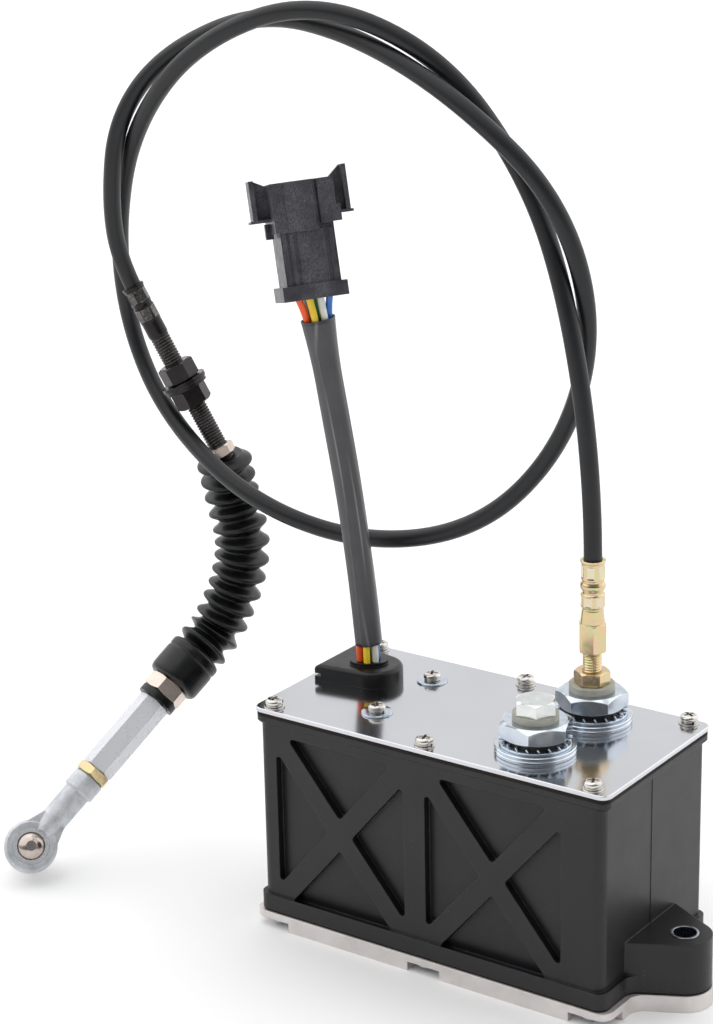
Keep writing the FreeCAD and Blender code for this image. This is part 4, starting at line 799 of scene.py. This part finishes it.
def make_fitting():
    """Threaded stud, hexagon and swaged ferrule that hold the conduit on the rear outlet."""
    place = Matrix.Translation(Vector((REAR_OUTLET[0], REAR_OUTLET[1], 0)))
    foot, jam_top, hex_low, hex_high = 116.7, 136.7, 146.1, 159.3
    bands = ((8.6, 13.8, 8), (22.0, 28.2, 20))
    ferrule = [(5.9, 0.0), (5.75, 0.5), (5.05, 6.6), (4.9, 7.2), (4.95, 7.7), (5.6, 8.3), (5.7, 8.8),
               (5.7, 13.6), (5.6, 14.1), (5.0, 14.7), (5.1, 15.6), (5.8, 17.3), (5.9, 17.8), (5.9, 18.5),
               (5.75, 19.0), (5.2, 20.2), (5.25, 20.8), (5.5, 21.4), (5.5, 28.8), (5.6, 29.1), (5.9, 29.5),
               (5.85, 30.2), (5.5, 30.4)]
    ferrule_long = ferrule[-1][1]
    conduit_end = CONDUIT_ROUTE[0][2]

    def radius(z, a):
        if z < hex_low:
            if z < jam_top - 1:
                return 4.5
            return 4.5 - thread_drop(z, a, 1.25, 0.45) * min(1.0, (hex_low - z) / 0.6)
        if z <= hex_high:
            cone = 6.55 + min(z - hex_low, hex_high - z) * 0.9
            return min(hex_radius(12.0, a, -53.2), cone)
        z -= hex_high
        return pressed_radius(between(ferrule, z), z, a, bands, (10.7, 10.3), 0.5)

    heights = [foot, 135.6] + spaced(135.8, hex_low, 0.2) + spaced(hex_low + 0.01, hex_low + 0.6, 0.15)
    heights += spaced(hex_low + 0.9, hex_high - 0.9, 2.0) + spaced(hex_high - 0.6, hex_high - 0.01, 0.15)
    heights += [hex_high + z for z in spaced(0.0, ferrule_long, 0.25)]
    outer = turned_rings(place, heights, radius, 72)
    mouth = turned_rings(place, [hex_high + ferrule_long, conduit_end], lambda z, a: CONDUIT_R + 0.05, 72)
    stem = turned_rings(place, [conduit_end, foot], lambda z, a: 2.4, 72)
    mesh = loft("outlet_fitting", outer + mouth + stem, closed=True)
    raised = Matrix.Translation(Vector((REAR_OUTLET[0], REAR_OUTLET[1], hex_high)))
    mark_crimps_and_crest_highlights(mesh, raised, ferrule, bands)
    fitting = settle("outlet_fitting", mesh, "zinc_yellow", "housing", 35)
    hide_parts("cable_fitting")


# Washers with raked teeth

def growing_tree(name, inputs):
    """Empty geometry tree with a geometry, the named inputs and a finish."""
    tree = bpy.data.node_groups.new(name, "GeometryNodeTree")
    sockets = {}
    for label, kind, value in [("Geometry", "Geometry", None)] + inputs + [("Finish", "Material", None)]:
        socket = tree.interface.new_socket(label, in_out="INPUT", socket_type="NodeSocket" + kind)
        if value is not None:
            socket.default_value = value
        sockets[label] = socket.identifier
    tree.interface.new_socket("Geometry", in_out="OUTPUT", socket_type="NodeSocketGeometry")
    return tree, sockets, tree.nodes.new("NodeGroupInput")


def close_tree(tree, start, instances):
    """Turns the instances into plain geometry with the finish."""
    real = add(tree, "GeometryNodeRealizeInstances", {"Geometry": instances})
    coat = add(tree, "GeometryNodeSetMaterial",
               {"Geometry": real.outputs["Geometry"], "Material": start.outputs["Finish"]})
    add(tree, "NodeGroupOutput", {"Geometry": coat.outputs["Geometry"]})


def tooth_tree():
    """Ring of raked teeth from one tooth, for a given count and place."""
    tree, sockets, start = growing_tree("raked teeth", [
        ("Count", "Int", 20), ("Radius", "Float", 0.015), ("Rake", "Float", 0.3), ("Centre", "Vector", None)])
    circle = add(tree, "GeometryNodeMeshCircle",
                 {"Vertices": start.outputs["Count"], "Radius": start.outputs["Radius"]})
    index = add(tree, "GeometryNodeInputIndex")
    step = add(tree, "ShaderNodeMath", {0: 2 * math.pi, 1: start.outputs["Count"]}, operation="DIVIDE")
    angle = add(tree, "ShaderNodeMath", {0: index.outputs[0], 1: step.outputs[0]}, operation="MULTIPLY")
    turn = add(tree, "ShaderNodeCombineXYZ", {"X": start.outputs["Rake"], "Z": angle.outputs[0]})
    spread = add(tree, "GeometryNodeInstanceOnPoints",
                 {"Points": circle.outputs["Mesh"], "Instance": start.outputs["Geometry"],
                  "Rotation": turn.outputs[0]})
    move = add(tree, "GeometryNodeTransform",
               {"Geometry": spread.outputs["Instances"], "Translation": start.outputs["Centre"]})
    close_tree(tree, start, move.outputs["Geometry"])
    return tree, sockets


def rounded_block(name, x, y, z, corner):
    """Small block with bevelled edges, centred on the origin."""
    verts = [(sx * x / 2 * MM, sy * y / 2 * MM, sz * z / 2 * MM)
             for sx in (-1, 1) for sy in (-1, 1) for sz in (-1, 1)]
    faces = [(0, 1, 3, 2), (4, 6, 7, 5), (0, 4, 5, 1), (2, 3, 7, 6), (0, 2, 6, 4), (1, 5, 7, 3)]
    mesh = bpy.data.meshes.new(name)
    mesh.from_pydata(verts, [], faces)
    obj = in_scene(name, mesh)
    soften = obj.modifiers.new("soften", "BEVEL")
    soften.width = corner * MM
    soften.segments = 2
    return obj


def grown(name, seed, tree, settings):
    """Plain mesh of what a tree makes from a seed object."""
    modifier = seed.modifiers.new("grow", "NODES")
    modifier.node_group = tree
    for identifier, value in settings.items():
        modifier[identifier] = value
    depsgraph = bpy.context.evaluated_depsgraph_get()
    mesh = bpy.data.meshes.new_from_object(seed.evaluated_get(depsgraph))
    mesh.name = name
    seed.modifiers.remove(modifier)
    return mesh


def make_tooth_washers():
    """Two large tooth lock washers under the outlet nuts."""
    tree, sockets = tooth_tree()
    tooth = rounded_block("tooth_seed", 2.2, 0.7, 1.7, 0.15)
    low, high, hole_r, disc_r = 115.6, 116.8, 10.02, 16.5
    disc = [(hole_r, low), (disc_r - 0.3, low), (disc_r, low + 0.2), (disc_r, high - 0.2),
            (disc_r - 0.3, high), (hole_r, high)]
    for name, (x, y) in (("front_tooth_washer", FRONT_OUTLET), ("rear_tooth_washer", REAR_OUTLET)):
        teeth = grown(name + "_teeth", tooth, tree, {
            sockets["Count"]: 20, sockets["Radius"]: 15.3 * MM, sockets["Rake"]: 0.62,
            sockets["Centre"]: (x * MM, y * MM, (high + 1.1) * MM), sockets["Finish"]: finishes["zinc"]})
        rings = [hoop(Vector((x, y, z)), ALONG_X, ALONG_Y, r, 72) for r, z in disc]
        base = settle(name, loft(name, rings, closed=True), "zinc", "housing", 35)
        settle(name + "_teeth", teeth, "zinc", "housing", 35)
    bpy.data.objects.remove(tooth)
    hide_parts("outlet_lock_washers")


# Cover screws with their washers

def scatter_tree():
    """A piece on each point, turned at random, for a given seed."""
    tree, sockets, start = growing_tree("one on each point", [
        ("Piece", "Object", None), ("Turn", "Float", 6.28), ("Seed", "Int", 3)])
    piece = add(tree, "GeometryNodeObjectInfo", {"Object": start.outputs["Piece"]})
    turn = add(tree, "FunctionNodeRandomValue", {"Seed": start.outputs["Seed"]}, data_type="FLOAT")
    tree.links.new(start.outputs["Turn"], turn.inputs[3])
    around = add(tree, "ShaderNodeCombineXYZ", {"Z": turn.outputs[1]})
    spread = add(tree, "GeometryNodeInstanceOnPoints",
                 {"Points": start.outputs["Geometry"], "Instance": piece.outputs["Geometry"],
                  "Rotation": around.outputs[0]})
    close_tree(tree, start, spread.outputs["Instances"])
    return tree, sockets


# Screw heads: the dome's radius, and how its top falls away with the radius squared
DOME_R = 2.9
DOME_FALL = 0.028


def screw_head_mesh(low, top):
    """Pan head with a cross recess, on the shank that goes through its washers."""
    rim = [(2.4, low - 13.0), (2.4, low), (3.9, low), (4.1, low + 0.2), (4.2, low + 0.6), (4.15, low + 1.3),
           (3.9, low + 1.85), (3.5, low + 2.2), (3.1, low + 2.42)]
    around, steps = 96, 22
    rings = [hoop(UP * z, ALONG_X, ALONG_Y, r, around) for r, z in rim]
    for k in range(steps):
        r = DOME_R * (1 - k / steps) + 0.02
        ring = []
        for n in range(around):
            a = 2 * math.pi * n / around
            x, y = r * math.cos(a), r * math.sin(a)
            dome = top - DOME_FALL * r * r
            arm = min(abs(x), abs(y))
            reach = max(abs(x), abs(y))
            inside = min(1.0, max(0.0, (0.62 - arm) / 0.15), max(0.0, (2.6 - reach) / 0.25))
            core = min(1.0, max(0.0, (1.0 - r) / 0.2))
            ring.append(Vector((x, y, dome - 1.6 * max(inside * (1 - 0.2 * reach / 2.5), core))))
        rings.append(ring)
    mesh = loft("screw_head", rings)
    # Painted shade: the cross recess, the underside of the head and the shank get a darker colour.
    values = []
    for vertex in mesh.vertices:
        at = vertex.co / MM
        r = math.hypot(at.x, at.y)
        shaded_recess = r < DOME_R and at.z < top - DOME_FALL * r * r - 0.5
        shaded_underside = r > 2.3 and at.z < low + 0.1
        values.append(1.0 if shaded_recess else (0.8 if shaded_underside else 0.0))
    write_light_and_marks(mesh, values)
    return mesh


def washer_mesh(name, r_in, r_out, low, high, split=0.0, rise=0.0):
    """Washer with rounded edges; a split one is cut through and sprung apart."""
    c = 0.3 * (high - low)
    section = [(r_in, low + c), (r_in + c, low), (r_out - c, low), (r_out - 0.3 * c, low + 0.3 * c),
               (r_out, low + c), (r_out, high - c), (r_out - 0.3 * c, high - 0.3 * c), (r_out - c, high),
               (r_in + c, high), (r_in, high - c)]
    rings = []
    for n in range(61 if split else 60):
        a = split / 2 + (2 * math.pi - split) * n / 60 if split else 2 * math.pi * n / 60
        lift = rise * (n / 60 - 0.5)
        rings.append([Vector((r * math.cos(a), r * math.sin(a), z + lift)) for r, z in section[::-1]])
    return loft(name, rings, closed=not split)


def make_screws():
    """Eight cross-head screws with split washers; six stand on small flat washers, two on large ones."""
    tree, sockets = scatter_tree()
    rim = [(x, y) for x in (-SCREW_X, SCREW_MIDDLE_X, SCREW_X) for y in (-SCREW_Y, SCREW_Y)]
    inner = [(FRAME_SCREW_X, y) for y in (-FRAME_SCREW_Y, FRAME_SCREW_Y)]
    flat, split, top = PLATE_TOP + 0.8, PLATE_TOP + 1.9, PLATE_TOP + 4.6
    for name, mesh, spots, seed, replaced, finish_name in (
            ("cross_screws", screw_head_mesh(split, top), rim + inner, 5, "cover_screws", "screw_nickel"),
            ("split_washers", washer_mesh("split_washer", 2.45, 3.9, flat + 0.1, split - 0.1, 0.3, 0.2),
             rim + inner, 8, "screw_lock_washers", "screw_nickel"),
            ("small_washers", washer_mesh("small_washer", 2.45, 4.8, PLATE_TOP, flat), rim, 1,
             "screw_flat_washers", "screw_nickel"),
            ("large_washers", washer_mesh("large_washer", 2.45, LARGE_WASHER_R, PLATE_TOP, flat), inner, 1,
             "frame_screw_washers", "zinc")):
        seed_piece = in_scene(name + "_seed", mesh)
        points = bpy.data.meshes.new(name + "_points")
        points.from_pydata([(x * MM, y * MM, 0.0) for x, y in spots], [], [])
        holder = in_scene(name + "_points", points)
        grown_mesh = grown(name, holder, tree, {
            sockets["Piece"]: seed_piece, sockets["Seed"]: seed, sockets["Finish"]: finishes[finish_name]})
        bpy.data.objects.remove(seed_piece)
        bpy.data.objects.remove(holder)
        piece = settle(name, grown_mesh, finish_name, "housing", 40)
        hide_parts(replaced)


# Camera, floor and light

# The camera was solved from the photograph: focal length and picture in pixels, place in millimetres
SENSOR_WIDTH = 36.0
FOCAL_PIXELS = 2600.0
PICTURE_TALL = 1024.0
CAMERA_AT = (600.01, -930.80, 577.42)
CAMERA_RIGHT = (0.8166, 0.5768, -0.0206)
CAMERA_FORWARD = (-0.5530, 0.7717, -0.3140)


def set_stage():
    """Pale floor, white backdrop, a room that is brighter on one side, and two soft suns."""
    floor_mesh = bpy.data.meshes.new("floor")
    floor_mesh.from_pydata([(-30, -30, 0), (30, -30, 0), (30, 60, 0), (-30, 60, 0)], [], [(0, 1, 2, 3)])
    floor = in_scene("floor", floor_mesh)
    pale = bpy.data.materials.new("pale_floor")
    pale.use_nodes = True
    tree = pale.node_tree
    shader = tree.nodes["Principled BSDF"]
    shader.inputs["Base Color"].default_value = (0.97, 0.97, 0.97, 1.0)
    shader.inputs["Roughness"].default_value = 0.9
    shader.inputs["Specular IOR Level"].default_value = 0.0
    floor_mesh.materials.append(pale)
    world = bpy.data.worlds.new("studio")
    bpy.context.scene.world = world
    world.use_nodes = True
    tree = world.node_tree
    room = tree.nodes["Background"]
    heading = add(tree, "ShaderNodeTexCoord").outputs["Generated"]
    towards = add(tree, "ShaderNodeVectorMath", {0: heading, 1: (-0.50, 0.80, 0.33)}, operation="DOT_PRODUCT")
    ramp = add(tree, "ShaderNodeMapRange",
               {"Value": towards.outputs["Value"], "From Min": -0.85, "From Max": 0.65,
                "To Min": 0.10, "To Max": 0.98})
    tree.links.new(ramp.outputs["Result"], room.inputs["Color"])
    paper = add(tree, "ShaderNodeBackground", {"Color": (1.0, 1.0, 1.0, 1.0), "Strength": 1.0})
    seen = add(tree, "ShaderNodeLightPath").outputs["Is Camera Ray"]
    mix = add(tree, "ShaderNodeMixShader", {0: seen, 1: room.outputs[0], 2: paper.outputs[0]})
    tree.links.new(mix.outputs[0], tree.nodes["World Output"].inputs["Surface"])
    for name, source, width, power in (
            ("key_light", (-0.8, -0.45, 1.5), 95.0, 1.5),
            ("side_light", (1.0, 0.9, 0.7), 80.0, 0.85)):
        lamp = bpy.data.lights.new(name, "SUN")
        lamp.angle = math.radians(width)
        lamp.energy = power
        in_scene(name, lamp).rotation_euler = Vector(source).to_track_quat("Z", "Y").to_euler()


def set_camera():
    """Camera that sees the object as the photograph does."""
    data = bpy.data.cameras.new("camera")
    data.sensor_width = SENSOR_WIDTH
    data.lens = SENSOR_WIDTH * FOCAL_PIXELS / PICTURE_TALL
    data.clip_start = 0.05
    data.clip_end = 200.0
    camera = in_scene("camera", data)
    right = Vector(CAMERA_RIGHT).normalized()
    forward = Vector(CAMERA_FORWARD).normalized()
    up = right.cross(forward)
    turn = Matrix((right, up, -forward)).transposed().to_4x4()
    camera.matrix_world = Matrix.Translation(Vector(CAMERA_AT) * MM) @ turn
    bpy.context.scene.camera = camera


slots = {row["node"]: row["material_slot"] for row in frame["record"]["subparts"]}
for name, node in cad.items():
    node.data.materials.clear()
    node.data.materials.append(finishes[slots[name]])

conduit = make_conduit()
leads = make_wires()
tubing, tubing_line, tubing_length = make_sleeve()
bellows = make_bellows()
tube = make_cable_end()
make_fitting()
make_tooth_washers()
make_screws()

round(line_length(CONDUIT_ROUTE) * MM, 4)
for lead, points in leads:
    round(line_length(points) * MM, 4)

set_stage()
set_camera()
bpy.context.scene.view_settings.view_transform = "Standard"
